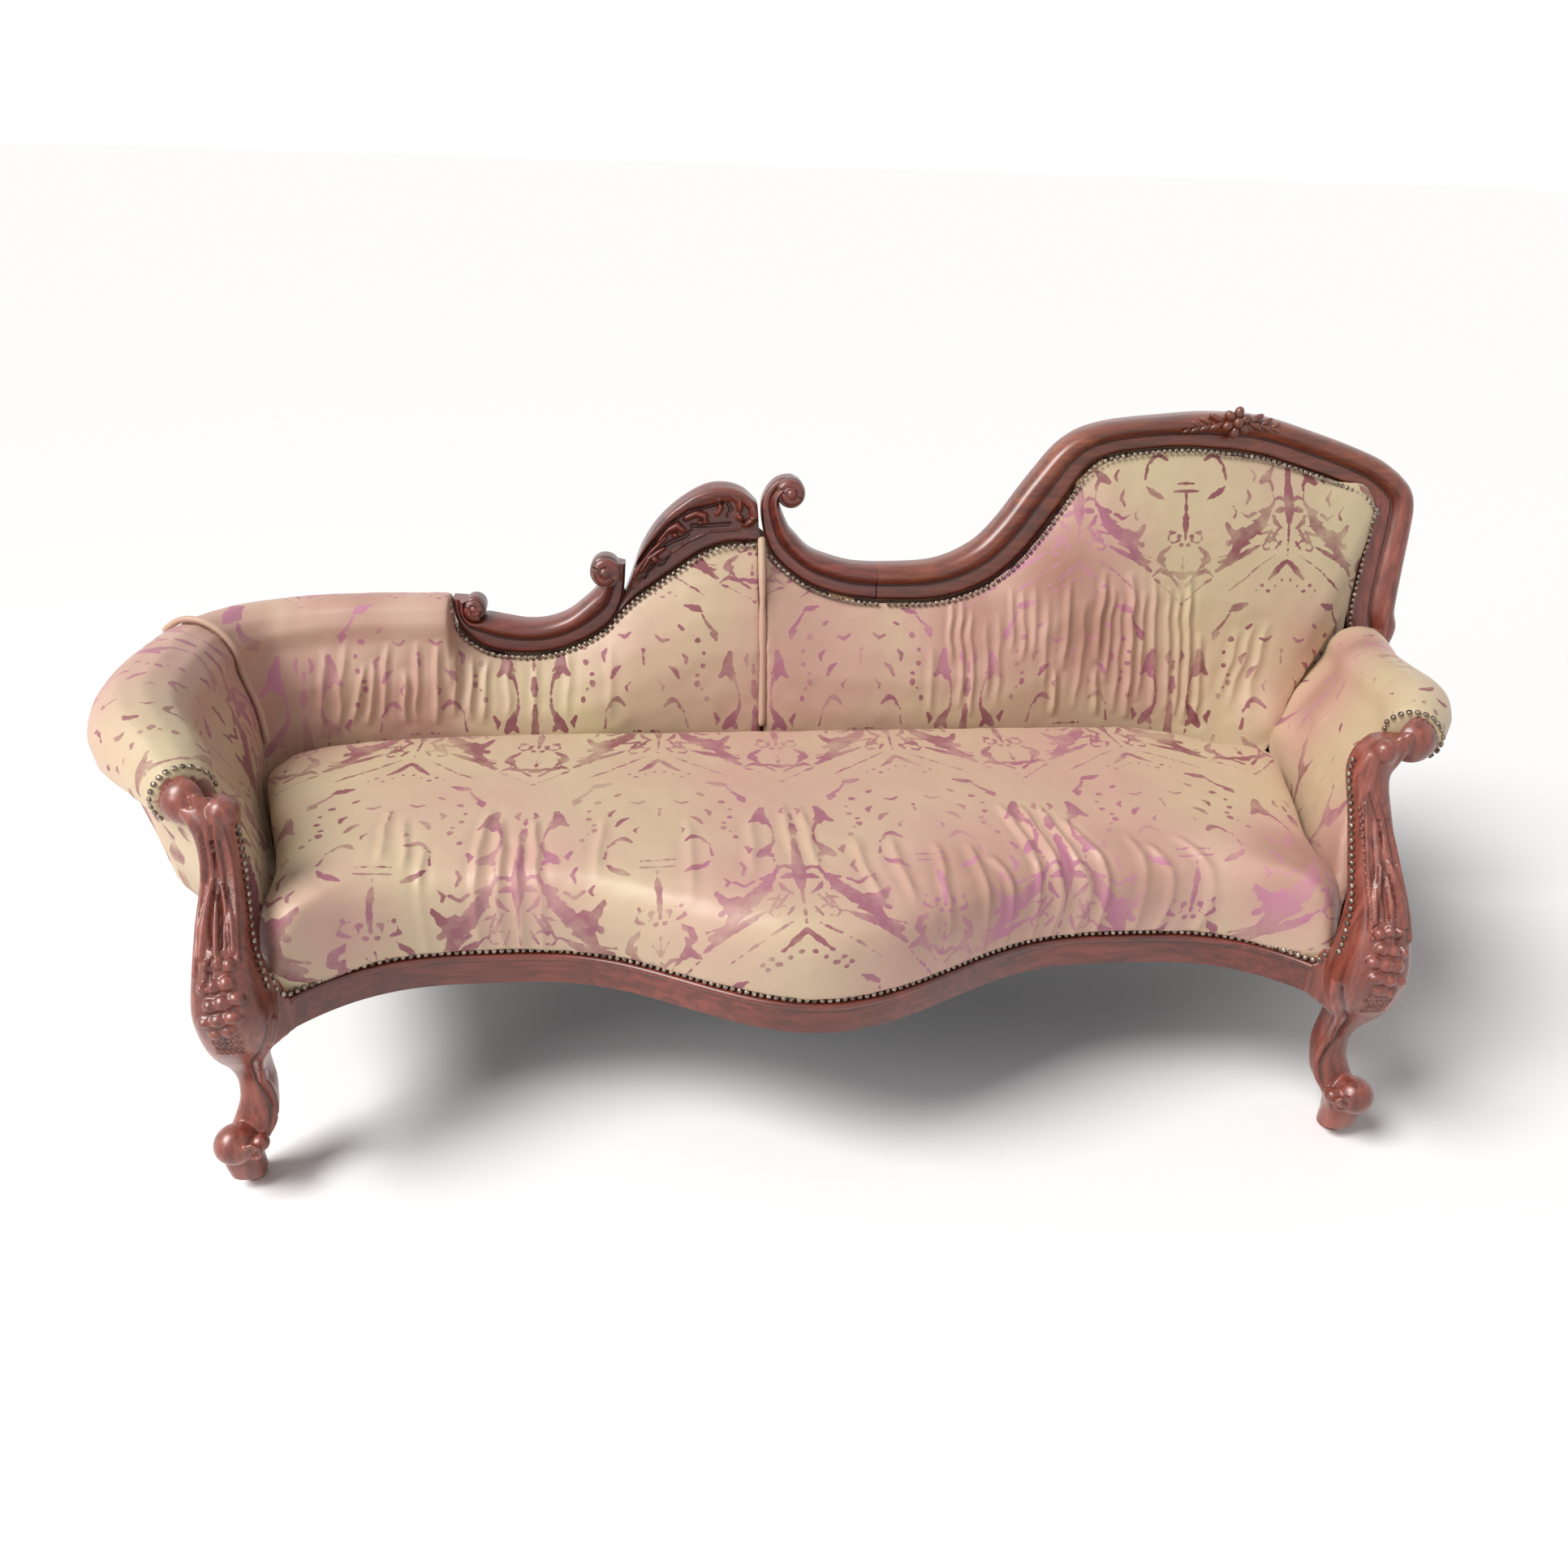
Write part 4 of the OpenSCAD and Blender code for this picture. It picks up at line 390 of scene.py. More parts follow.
# A curl at a scroll's end: a ridge wound in round a domed eye, over a drum
def curlShapes(x, z, radius, fromAngle, turns, clockwise, stand=17):
    sign = -1 if clockwise else 1
    share = np.linspace(0, 1, int(40 * turns))
    angle = np.radians(fromAngle) + sign * 2 * np.pi * turns * share
    reach = radius * (0.66 - 0.36 * share)
    thick = radius * (0.40 - 0.14 * share)
    path = onBack(x + reach * np.cos(angle), z + reach * np.sin(angle), stand - radius * 0.16 + 5 * share)
    ridge = tubeShape(path, thick, 12)
    eye = blobShape(onBack(x, z, stand - 2), [backRight * radius * 0.46, backUp * radius * 0.46, backOut * radius * 0.5])
    turn = np.linspace(0, 2 * np.pi, 40, endpoint=False)
    levels = ((0.94, -22), (0.97, -4), (0.97, stand - 12), (0.9, stand - 7), (0.72, stand - 6), (0.5, stand - 7))
    drum = [onBack(x + radius * size * np.cos(turn), z + radius * size * np.sin(turn), depth) for size, depth in levels]
    return [ridge, eye, closeGrid(np.array(drum))]


scrollLeft = {"left": -559.7, "low": 541, "width": 290.9, "height": 163, "shares": [
    [0.086, 0.61, 0.00, 0.62], [0.075, 0.45, 0.00, 0.44], [0.113, 0.37, 0.04, 0.25], [0.188, 0.39, 0.137, 0.10],
    [0.29, 0.36, 0.24, 0.025], [0.41, 0.325, 0.41, 0.00], [0.53, 0.337, 0.56, 0.025], [0.65, 0.41, 0.71, 0.11],
    [0.757, 0.55, 0.83, 0.22], [0.83, 0.68, 0.91, 0.34], [0.85, 0.80, 0.97, 0.57], [0.87, 0.95, 0.99, 0.90]],
    "curls": [(-523, 620, 19, -60, 1.2, True), (-305, 678, 27, -30, 1.3, False)]}
scrollTall = {"left": -43, "low": 686, "width": 198, "height": 142, "shares": [
    [0.247, 0.80, 0.36, 0.86], [0.237, 0.86, 0.268, 1.00], [0.187, 0.845, 0.106, 0.944], [0.152, 0.732, 0.00, 0.704],
    [0.227, 0.465, 0.025, 0.345], [0.298, 0.345, 0.116, 0.077], [0.419, 0.183, 0.354, -0.183],
    [0.581, 0.092, 0.566, -0.31], [0.783, 0.021, 0.778, -0.38], [1.00, 0.00, 1.00, -0.415]],
    "curls": [(5.9, 805, 25, 150, 1.25, True)]}
headRail = {"joint": 155, "width": 956, "low": 686, "rise": 250, "shares": [
    [0.00, 0.00, 0.95], [0.10, 0.02, 1.02], [0.168, 0.12, 1.10], [0.215, 0.28, 1.15], [0.271, 0.56, 1.15],
    [0.33, 0.81, 1.00], [0.40, 0.925, 0.86], [0.52, 0.98, 0.84], [0.607, 1.00, 0.95], [0.70, 0.975, 1.00],
    [0.798, 0.876, 1.00], [0.87, 0.79, 1.00], [0.925, 0.71, 1.05], [0.962, 0.624, 1.10]]}
stile = {"shares": [[0.962, 0.624, 1.10], [0.988, 0.53, 1.18], [0.9995, 0.41, 1.22], [0.999, 0.22, 1.26],
                    [0.995, -0.03, 1.34], [0.992, -0.30, 1.40], [0.995, -0.508, 1.40]],
         "foot": [[1040, 430, 71.3], [1040, 330, 49.6]]}


# Painted shade, with dark wax, where the profile is low between its ridges: two bells over the share of the width
def grooveField(profile, rows):
    share = profile[:, 0]
    low = np.exp(-((share - 0.55) / 0.03) ** 2) + 0.7 * np.exp(-((share - 0.965) / 0.03) ** 2)
    column = np.concatenate([low, [0, 0]])
    return np.concatenate([np.tile(column, rows), [0, 0]])


# Carved flower on the head rail: a berry in a ring of petals, with leaves that shrink away along the rail
def flowerShapes(x, z):
    shapes = [blobShape(onBack(x, z, 20), [backRight * 9.5, backUp * 9.5, backOut * 11])]
    for turn in np.radians(np.arange(6) * 60 + 20):
        ahead, side = backRight * math.cos(turn) + backUp * math.sin(turn), backUp * math.cos(turn) - backRight * math.sin(turn)
        shapes.append(blobShape(onBack(x, z, 16) + ahead * 16, [ahead * 11, side * 8.2, backOut * 9]))
    leaves = [(34, 0, 1.2), (53, -4, 1.0), (70, -8, 0.8), (85, -11, 0.6)]
    for side, count in ((-1, 4), (1, 3)):
        for away, drop, size in leaves[:count]:
            for turn in (math.radians(26), -math.radians(26)):
                ahead = (backRight * math.cos(turn) + backUp * math.sin(turn)) * side
                middle = onBack(x + side * away, z + drop, 13) + backUp * size * (5 if turn * side > 0 else -5)
                shapes.append(blobShape(middle, [ahead * 13 * size, np.cross(backOut, ahead) * 5 * size, backOut * 7 * size]))
    return shapes


# Moulding with its curls and extra blobs, as one piece
def buildMoulding(name, node, edges, curls, material, extra=()):
    profile = splineThrough(mouldingShares, 3)
    grid = edgeLoft(edges, profile)
    shapes = [closeGrid(grid)]
    # The hollow field paints shade, with dark wax: in the moulding's groove and by its nailed edge, over each curl's
    # drum, and faintly over the extra blobs
    hollow = [0.8 * grooveField(profile, len(edges))]
    for curl in curls:
        for shape in curlShapes(*curl):
            shapes.append(shape)
            hollow.append(np.zeros(len(shape[0])))
        hollow[-1][:] = 0.35
    for shape in extra:
        shapes.append(shape)
        hollow.append(np.full(len(shape[0]), 0.12))
    points, faces = joinShapes(shapes)
    piece = makePiece(name, points, faces, material)
    storeField(piece, "hollow", np.concatenate(hollow))
    keepEdges(piece, 50)
    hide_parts(node)


lowEdges = tableEdges(scrollLeft)[4:]
tallEdges = tableEdges(scrollTall)


# Knots in mm from shares of the head rail's box and of the moulding's width
def headKnots(shares):
    return np.array(shares) * [headRail["width"], headRail["rise"], backPlane["width"]] + [headRail["joint"], headRail["low"], 0]


headEdges = bandEdges(splineThrough(headKnots(headRail["shares"]), 14))
stileKnots = np.concatenate([headKnots(stile["shares"]), stile["foot"]])
stileEdges = bandEdges(splineThrough(stileKnots, 10))
stileEdges[0] = headEdges[-1] + [0.2, -0.2, 0.2, -0.2]
buildMoulding("lowScroll", "scroll_left", lowEdges, scrollLeft["curls"], railWood)
buildMoulding("tallScroll", "scroll_tall", tallEdges, scrollTall["curls"], railWood)
buildMoulding("headMoulding", "crest_rail", headEdges, [], headWood, flowerShapes(762, 925))
buildMoulding("headStile", "stile_right", stileEdges, [], legWood)
print("scrolls, head rail and stile")


# Carved crest: strokes [x, z, half width] in mm on the raked plane, each raised by so much over the cove
carvedCrest = {"left": -292, "low": 600, "width": 249, "height": 218, "shares": [
    [0.13, 0.345, 0.01, 0.01], [0.19, 0.53, 0.125, 0.138], [0.294, 0.711, 0.262, 0.248], [0.444, 0.867, 0.429, 0.376],
    [0.619, 0.977, 0.583, 0.486], [0.762, 0.995, 0.742, 0.555], [0.88, 0.954, 0.881, 0.569], [0.97, 0.862, 0.99, 0.569]],
    "raised": [
        (11, [[-264, 683, 3.3], [-252, 700, 6.6], [-235, 727, 9.2], [-215, 753, 11.9], [-187, 776, 14.5], [-156, 794, 17.2],
              [-125, 805, 17.2], [-96, 807, 14.5], [-72, 801, 11.9], [-57, 784, 9.2], [-55, 766, 7.9], [-66, 755, 6.6]]),
        (9, [[-117, 802, 4], [-112, 781, 5.3], [-118, 771, 4]]), (10, [[-96, 802, 5.3], [-80, 792, 6.6], [-80, 779, 5.3]]),
        (12, [[-62, 759, 7.9], [-72, 753, 5.3]]), (13, [[-81, 766, 6], [-79, 764, 6]]),
        (9, [[-169, 766, 6.6], [-153, 773, 6.6], [-139, 768, 6.6], [-137, 758, 5.3]]), (11, [[-146, 757, 4.5], [-145, 756, 4.5]]),
        (9, [[-215, 729, 5.3], [-201, 746, 6.6], [-185, 753, 6.6], [-174, 745, 5.3]]), (11, [[-189, 738, 5], [-187, 737, 5]]),
        (8, [[-246, 679, 4], [-232, 700, 5.3], [-215, 711, 5.3], [-207, 716, 4]]), (11, [[-223, 698, 6.4], [-221, 697, 6.4]]),
        (7, [[-258, 668, 3], [-246, 690, 3.5], [-228, 712, 3.5], [-204, 733, 3]]),
        (4, [[-262, 650, 1.5], [-236, 674, 1.8], [-205, 700, 1.8], [-170, 724, 1.8], [-130, 742, 1.8], [-80, 745, 1.6]])],
    "cut": [
        (5, [[-255, 687, 1.3], [-231, 719, 1.6], [-201, 752, 1.6], [-165, 777, 1.6], [-130, 785, 1.4], [-108, 790, 1.2]]),
        (4, [[-100, 790, 1.2], [-94, 778, 1.5], [-100, 768, 1.2]]), (4, [[-160, 752, 1.5], [-128, 752, 1.5], [-96, 754, 1.4]]),
        (4, [[-205, 720, 1.5], [-192, 727, 1.5], [-172, 734, 1.5], [-160, 744, 1.3]]),
        (4, [[-240, 668, 1.5], [-228, 686, 1.5], [-210, 690, 1.5], [-196, 706, 1.3]]),
        (3, [[-188, 786, 0.8], [-160, 803, 0.8], [-128, 812, 0.8]]), (3, [[-245, 716, 0.8], [-226, 742, 0.8], [-206, 764, 0.8]])]}


# Height and hollow of carving at flat places: each raised stroke is a rounded ridge, each cut a narrow trench. The
# hollow is painted shade with dark wax, over the low ground round the ridges and in the trenches
def carveField(flat, raised, cuts):
    height = np.zeros(len(flat))
    for rise, stroke in raised:
        gap = strokeDistance(flat, stroke)
        widest = max(row[2] for row in stroke)
        dome = np.sqrt(np.clip(-gap / widest, 0, 1))
        height = np.maximum(height, 1.2 * rise * np.clip(dome * 1.1, 0, 1))
    hollow = 0.32 * np.clip(1 - height / 5, 0, 1) * (height < 5)
    for depth, stroke in cuts:
        trench = np.exp(-(np.clip(strokeDistance(flat, stroke), 0, None) / 1.4) ** 2)
        height = height - depth * trench
        hollow = np.maximum(hollow, 0.7 * trench)
    return height, hollow


# The leaf: a ground between its edge lines, lifted square to the raked plane by the carving
def buildCarvedCrest():
    edges = tableEdges(carvedCrest, 30)
    across = np.linspace(0, 1, 74)
    # Ground of the carving: rises steeply from the outer edge, and ends in a cove by the nails
    ground = readTable([[0, 0.45], [0.03, 0.62], [0.10, 0.74], [0.3, 0.78], [0.55, 0.70], [0.75, 0.64], [0.88, 0.66],
                        [0.95, 0.62], [0.985, 0.54], [1, 0.5]], across)
    profile = np.concatenate([[[0, 0.2]], np.stack([across, ground], -1), [[1, 0.3]]])
    grid = edgeLoft(edges, profile)
    flat = grid[..., [0, 2]].reshape(-1, 2)
    height, hollow = carveField(flat, carvedCrest["raised"], carvedCrest["cut"])
    # Only the face is carved, and the carving fades at both edges
    inside = np.zeros(grid.shape[:2])
    inside[:, 1:-3] = 1
    share = np.concatenate([[0], across, [1, 1, 0]])
    inside *= smoothStep(0, 0.05, share) * smoothStep(0, 0.04, 1 - share)
    lift = height.reshape(inside.shape) * inside
    grid += lift[..., None] * backOut
    points, faces = closeGrid(grid)
    piece = makePiece("carvedCrestLeaf", points, faces, railWood)
    # The carving's hollow paints shade, with dark wax, into the low ground and the cuts
    storeField(piece, "hollow", np.concatenate([(hollow.reshape(inside.shape) * inside).ravel(), [0, 0]]))
    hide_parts("crest_carved")


buildCarvedCrest()
print("carved crest")


# Applies a piece's modifiers, so that it keeps a plain mesh
def bakeModifiers(piece):
    bpy.context.view_layer.update()
    baked = bpy.data.meshes.new_from_object(piece.evaluated_get(bpy.context.evaluated_depsgraph_get()))
    old = piece.data
    piece.modifiers.clear()
    piece.data = baked
    bpy.data.meshes.remove(old)


# A vertex field of three numbers as rows: the normals, or the places in metres
def readField(piece, field):
    values = np.zeros(len(piece.data.vertices) * 3, np.float32)
    piece.data.vertices.foreach_get(field, values)
    return values.reshape(-1, 3).astype(float)


# Vertex places in mm from the rail's middle: metres times 1000, plus that middle
def readPlaces(piece):
    return readField(piece, "co") * 1000 + railOrigin


# The same way back
def writePlaces(piece, points):
    piece.data.vertices.foreach_set("co", toPart(points).astype(np.float32).ravel())
    piece.data.update()


# Splits every face into four so many times, rounding the shape unless it is to stay flat
def splitFaces(piece, levels, kind="CATMULL_CLARK"):
    finer = piece.modifiers.new("finer", "SUBSURF")
    finer.subdivision_type, finer.levels, finer.render_levels = kind, levels, levels
    bakeModifiers(piece)


# Shades all faces as one surface
def shadeSmooth(piece):
    piece.data.polygons.foreach_set("use_smooth", np.ones(len(piece.data.polygons), bool))


# Melts joined shapes into one skin, as if carved from one block
def meltTogether(piece, voxel, smoothing):
    remesh = piece.modifiers.new("remesh", "REMESH")
    remesh.mode, remesh.voxel_size, remesh.use_smooth_shade = "VOXEL", voxel / 1000, True
    soften = piece.modifiers.new("soften", "SMOOTH")
    soften.factor, soften.iterations = 0.5, smoothing
    bakeModifiers(piece)


# The arms splay by this angle, and run back from their scrolls
armTurn = math.radians(32)


def armBack(side):
    return np.array([side * math.sin(armTurn), math.cos(armTurn), 0])


# Front legs: knots of [height, centre out, centre forward, half width, half depth] in mm, from the rail's end
legSettings = {"half": 713, "knee": 330, "block": 58, "blockFront": 323, "scrollOut": 114, "scrollBack": 208, "around": 96,
    "low": [[0.06, 1.58, 0.02, 0.40, 0.36], [0.155, 1.62, 0.05, 0.44, 0.379], [0.235, 1.52, -0.10, 0.50, 0.40],
            [0.30, 1.33, -0.35, 0.50, 0.42], [0.39, 1.22, -0.55, 0.42, 0.40], [0.455, 1.20, -0.62, 0.40, 0.40],
            [0.52, 1.21, -0.60, 0.39, 0.40], [0.60, 1.22, -0.45, 0.44, 0.44], [0.70, 1.20, -0.15, 0.57, 0.55],
            [0.80, 1.07, 0.08, 0.72, 0.69], [0.91, 1.00, 0.22, 0.80, 0.79], [1.00, 0.99, 0.259, 0.80, 0.828]]}
# Carving is placed by [angle round the section, height, half width]: -90 degrees is the front, 180 the seat's side
leftLeg = {"node": "leg_front_left", "side": -1, "top": 553, "lobe": 22,
    "post": [[0.13, 0.046, 0.062, 0.724, 0.760], [0.28, 0.108, 0.192, 0.612, 0.690], [0.42, 0.152, 0.377, 0.543, 0.620],
             [0.55, 0.187, 0.560, 0.483, 0.560], [0.68, 0.214, 0.690, 0.440, 0.500], [0.84, 0.280, 0.780, 0.448, 0.470],
             [0.95, 0.400, 0.838, 0.517, 0.466], [1.02, 0.576, 0.900, 0.517, 0.431]]}
rightLeg = {"node": "leg_front_right", "side": 1, "top": 614, "lobe": 18,
    "post": [[0.13, 0.046, 0.062, 0.724, 0.760], [0.28, 0.072, 0.192, 0.612, 0.690], [0.42, 0.046, 0.377, 0.543, 0.620],
             [0.55, 0.028, 0.560, 0.483, 0.560], [0.68, 0.019, 0.746, 0.440, 0.520], [0.84, -0.042, 0.900, 0.448, 0.470],
             [0.95, 0.117, 0.920, 0.517, 0.466], [1.02, 0.435, 0.940, 0.517, 0.431]]}
legCarving = {
    "berries": [(-115, 392, 7.5), (-94, 396, 7.5), (-74, 392, 7), (-107, 374, 8.5), (-84, 372, 8), (-64, 368, 7), (-118, 356, 8),
                (-96, 353, 9), (-76, 350, 8), (-108, 335, 8.5), (-86, 332, 8.5), (-66, 330, 7), (-98, 316, 8), (-78, 312, 7)],
    "raised": [
        (5.5, [[-125, 405, 4], [-122, 430, 6], [-112, 452, 5], [-102, 470, 2]]),
        (5.5, [[-58, 400, 4], [-60, 426, 7], [-68, 452, 6], [-78, 474, 2]]),
        (4.5, [[-92, 402, 4], [-90, 430, 5], [-90, 462, 2.5]]),
        (3.5, [[-132, 396, 3], [-134, 440, 3.5], [-132, 500, 3], [-128, 540, 2]]),
        (3.5, [[-46, 380, 4], [-44, 430, 5], [-50, 490, 4], [-62, 530, 2]])],
    "cut": [
        (5, [[-85, 400, 0.8], [-76, 385, 2.2], [-71, 372, 0.8]]),
        (5, [[-101, 410, 0.6], [-100, 440, 1.6], [-95, 470, 1], [-90, 520, 0.8]]),
        (5, [[-79, 410, 0.6], [-80, 440, 1.6], [-85, 470, 1], [-90, 520, 0.8]]),
        (3.5, [[-90, 505, 1.2], [-98, 530, 1.6], [-112, 552, 1.4]]),
        (3, [[-118, 410, 1], [-116, 460, 1.2], [-114, 520, 1]]), (3, [[-58, 470, 0.8], [-66, 520, 1], [-80, 548, 1]])],
    "pendant": {"angles": (-118, -62), "heights": (262, 312), "pitch": 5.2, "rise": 1.8}}


# Knots in mm: shares of the knee's height below it, and of the way from the knee to the scroll above it
def legKnots(leg):
    s = legSettings
    kneeOut, kneeForward = s["block"] * 0.99, s["blockFront"] + s["block"] * 0.259
    low = [[k[0] * s["knee"], s["block"] * k[1], s["blockFront"] + s["block"] * k[2], s["block"] * k[3], s["block"] * k[4]]
           for k in s["low"]]
    post = [[s["knee"] + k[0] * (leg["top"] - s["knee"]), kneeOut + k[1] * (s["scrollOut"] - kneeOut),
             kneeForward + k[2] * (s["scrollBack"] - kneeForward), s["block"] * k[3], s["block"] * k[4]] for k in leg["post"]]
    return np.array(low + post)


# Points of the section at an angle and a height: a superellipse of power 3 on the half widths
def ringPoint(leg, knots, angle, height, swell=1.0):
    angle, height = np.broadcast_arrays(np.radians(np.asarray(angle, float)), np.asarray(height, float))
    out, forward, halfWide, halfDeep = (np.interp(height, knots[:, 0], knots[:, k]) for k in range(1, 5))
    c, s = np.cos(angle), np.sin(angle)
    q = (np.abs(c) ** 3 + np.abs(s) ** 3) ** (1 / 3)
    across = leg["side"] * (legSettings["half"] + out + halfWide * c / q * swell)
    return np.stack([across, -forward + halfDeep * s / q * swell, height], -1)


# Middle of the arm scroll's ball
def scrollCentre(leg):
    return np.array([leg["side"] * (legSettings["half"] + legSettings["scrollOut"]), -legSettings["scrollBack"], leg["top"]])


# The leg before carving: fluted post, foot pad, toe ball with its volute, arm scroll with its fold, block and moulded band
def legShapes(leg, knots):
    s, side = legSettings, leg["side"]
    angles = np.linspace(0, 360, s["around"], endpoint=False)
    rise = np.clip((knots[:, 0] - s["knee"]) / (leg["top"] - s["knee"]) / 0.33, 0, 1)
    flute = 1 - 0.07 * rise[:, None] * (1 + np.cos(np.radians(6 * angles)))[None, :] / 2
    shapes = [closeGrid(ringPoint(leg, knots, angles[None, :], knots[:, :1], flute))]
    half, front = s["half"], s["blockFront"]
    foot = np.array([side * (half + 93), -(front - 13), 0])
    turn = np.linspace(0, 2 * np.pi, 40, endpoint=False)
    disc = np.stack([np.cos(turn), np.sin(turn), 0 * turn], -1)
    shapes.append(closeGrid(np.array([foot + disc * r + [0, 0, z] for r, z in
                                      ((16.5, 0.4), (18, 3), (18.4, 14), (17.5, 26), (19, 40), (20, 56), (17, 70))])))
    toe = np.array([side * (half + 95), -(front + 19), 86])
    shapes.append(blobShape(toe, np.diag([29, 29, 28.5]), 24, 36))
    shapes.append(blobShape(toe + [-side * 34, -1, 2], np.diag([12, 13, 12]), 16, 24))
    wind = np.linspace(0, 1, 40)
    shapes.append(tubeShape(toe + np.stack([-side * (30 - 14 * np.cos(5.5 * wind) * (1 - 0.5 * wind)), -20 - 4 * wind,
                                            2 + 14 * np.sin(5.5 * wind) * (1 - 0.5 * wind)], -1), 4 - 1.5 * wind, 10))
    scroll = scrollCentre(leg)
    ball = blobShape(scroll, np.diag([33, 33, 33]), 28, 40)
    out = armBack(side) * [1, -1, 1]
    reach = (ball[0] - scroll) @ out
    ball[0][:] = ball[0] - np.minimum(reach + 6, 0)[:, None] * out  # the arm's end face cuts the ball behind
    shapes.append(ball)
    shapes.append(blobShape(scroll + [-side * 52, -26, -6], np.diag([leg["lobe"]] * 3), 20, 28))
    fold = np.linspace(0, 1, 24)
    for lean, thick in ((0, 8.5), (14, 7.5), (27, 6.5)):
        path = scroll + np.stack([-side * (22 + lean * 0.7 + 16 * fold), -24 + 6 * fold - 10 * np.sin(np.pi * fold),
                                  20 - lean * 0.35 - 74 * fold + 10 * np.sin(np.pi * fold)], -1)
        shapes.append(tubeShape(path, thick * (1 - 0.55 * fold), 12))
    # Block behind the knee in [height, inner end, setback]: a curved bracket up to the rail, then set back above the nails
    box = np.array([[-3, 0], [58, 0], [58, 62], [-3, 62]], float)
    share = np.linspace(0.04, 0.96, 8)[:, None]
    rim = np.concatenate([box[k] + (box[(k + 1) % 4] - box[k]) * share for k in range(4)])
    faceY = np.maximum(rim[:, 1], 21.5 * np.clip(1 - rim[:, 0] / 58, 0, 1.1) ** 1.3)
    steps = ((200, 58, 0), (210, 50, 0), (219, 41, 0), (228, 31, 0), (236, 20, 0), (243, 10, 0), (249, 1, 0), (253, -3, 0),
             (280, -3, 0), (297, -3, 0), (304, 8, 17.6), (328, 12, 26.4))
    shapes.append(closeGrid(np.array([np.stack([side * (half + np.maximum(rim[:, 0], end)), -front + np.maximum(faceY, back),
                                                np.full(len(rim), z)], -1) for z, end, back in steps])))
    # Moulded band down the seat's side of the leg, from the rail to the heel
    bandZ = np.linspace(300, 70, 60)
    bandAngle = np.interp(bandZ, [70, 120, 168, 237, 271, 300], [-150, -154, -128, -147, -166, -176])
    thick = np.interp(bandZ, [70, 110, 260, 300], [2.5, 6, 7, 6])
    shapes.append(tubeShape(ringPoint(leg, knots, bandAngle, bandZ, 0.98), thick, 12))
    return shapes


# Carving: vertices are read as angle and height on the section, angles are laid out on a 34 mm round, and each vertex moves
# along its normal
def carveLeg(piece, leg, knots):
    s, side = legSettings, leg["side"]
    points = readPlaces(piece)
    normals = readField(piece, "normal")
    height = points[:, 2]
    outC, forwardC, halfWide, halfDeep = (np.interp(height, knots[:, 0], knots[:, k]) for k in range(1, 5))
    angle = np.degrees(np.arctan2((points[:, 1] + forwardC) / halfDeep, (points[:, 0] * side - s["half"] - outC) / halfWide))
    layout = 34 * math.pi / 180
    flat = np.stack([angle * layout, height], -1)
    scaled = lambda table: [(rise, [[a * layout, z, w] for a, z, w in stroke]) for rise, stroke in table]
    onPost = (height > 255) & (height < leg["top"] - 12) & (np.abs(angle + 90) < 75)
    lift, hollow = np.zeros(len(points)), np.zeros(len(points))
    berries = [(6.5, [[a * layout, z, r], [a * layout, z + 0.5, r]]) for a, z, r in legCarving["berries"]]
    raised = scaled(legCarving["raised"]) + berries
    lift[onPost], hollow[onPost] = carveField(flat[onPost], raised, scaled(legCarving["cut"]))
    near = np.min([strokeDistance(flat, stroke) for _, stroke in raised], 0)
    hollow *= np.exp(-(np.clip(near, 0, None) / 6) ** 2) * 0.6
    pendant = legCarving["pendant"]
    (low, high), (first, last) = pendant["heights"], pendant["angles"]
    inPendant = onPost * smoothStep(0, 6, height - low) * smoothStep(0, 5, high - height)
    inPendant = inPendant * smoothStep(0, 8, angle - first) * smoothStep(0, 8, last - angle)
    row = np.floor(height / pendant["pitch"])
    dots = np.cos(2 * np.pi * (flat[:, 0] / pendant["pitch"] + 0.5 * (row % 2)))
    dots = dots * np.cos(2 * np.pi * (height / pendant["pitch"] - 0.5))
    lift += inPendant * pendant["rise"] * (0.6 + dots)
    hollow = np.maximum(hollow, inPendant * 0.6 * np.clip(-dots, 0, 1))
    # Groove beside the moulded band
    groove = np.interp(height, [70, 120, 168, 237, 271, 300], [-136, -137, -106, -128, -140, -156])
    trench = np.exp(-((angle - groove) / 5) ** 2) * (height < 305) * smoothStep(75, 110, height)
    lift -= 2.6 * trench
    hollow = np.maximum(hollow, 0.8 * trench)
    # The hollow paints shade, with dark wax, round the carving, between the pendant's beads and along the groove
    writePlaces(piece, points + normals * lift[:, None])
    storeField(piece, "hollow", hollow)


# One leg melted from its shapes and carved; its knots serve the nails
def buildLeg(leg, name):
    knots = splineThrough(legKnots(leg), 12)
    piece = makePiece(name, *joinShapes(legShapes(leg, knots)), legWood)
    meltTogether(piece, 2.2, 3)
    carveLeg(piece, leg, knots)
    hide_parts(leg["node"])
    return knots


leftKnots = buildLeg(leftLeg, "leftLegAndArmPost")
rightKnots = buildLeg(rightLeg, "rightLegAndArmPost")


# Beading up the seat side of each post
def buildPearls(leg, knots, name):
    height = np.linspace(386, 532, 19)
    angle = np.interp(height, [386, 411, 446, 482, 532], [-126, -132, -136, -140, -146])
    places = ringPoint(leg, knots, angle, height, 1.0)
    piece = makePiece(name, *joinShapes([blobShape(place, np.diag([3.4, 3.4, 3.9]), 7, 10) for place in places]), legWood)
    storeField(piece, "hollow", np.zeros(len(piece.data.vertices)))


buildPearls(rightLeg, rightKnots, "rightPostBeading")
print("front legs and arm posts")


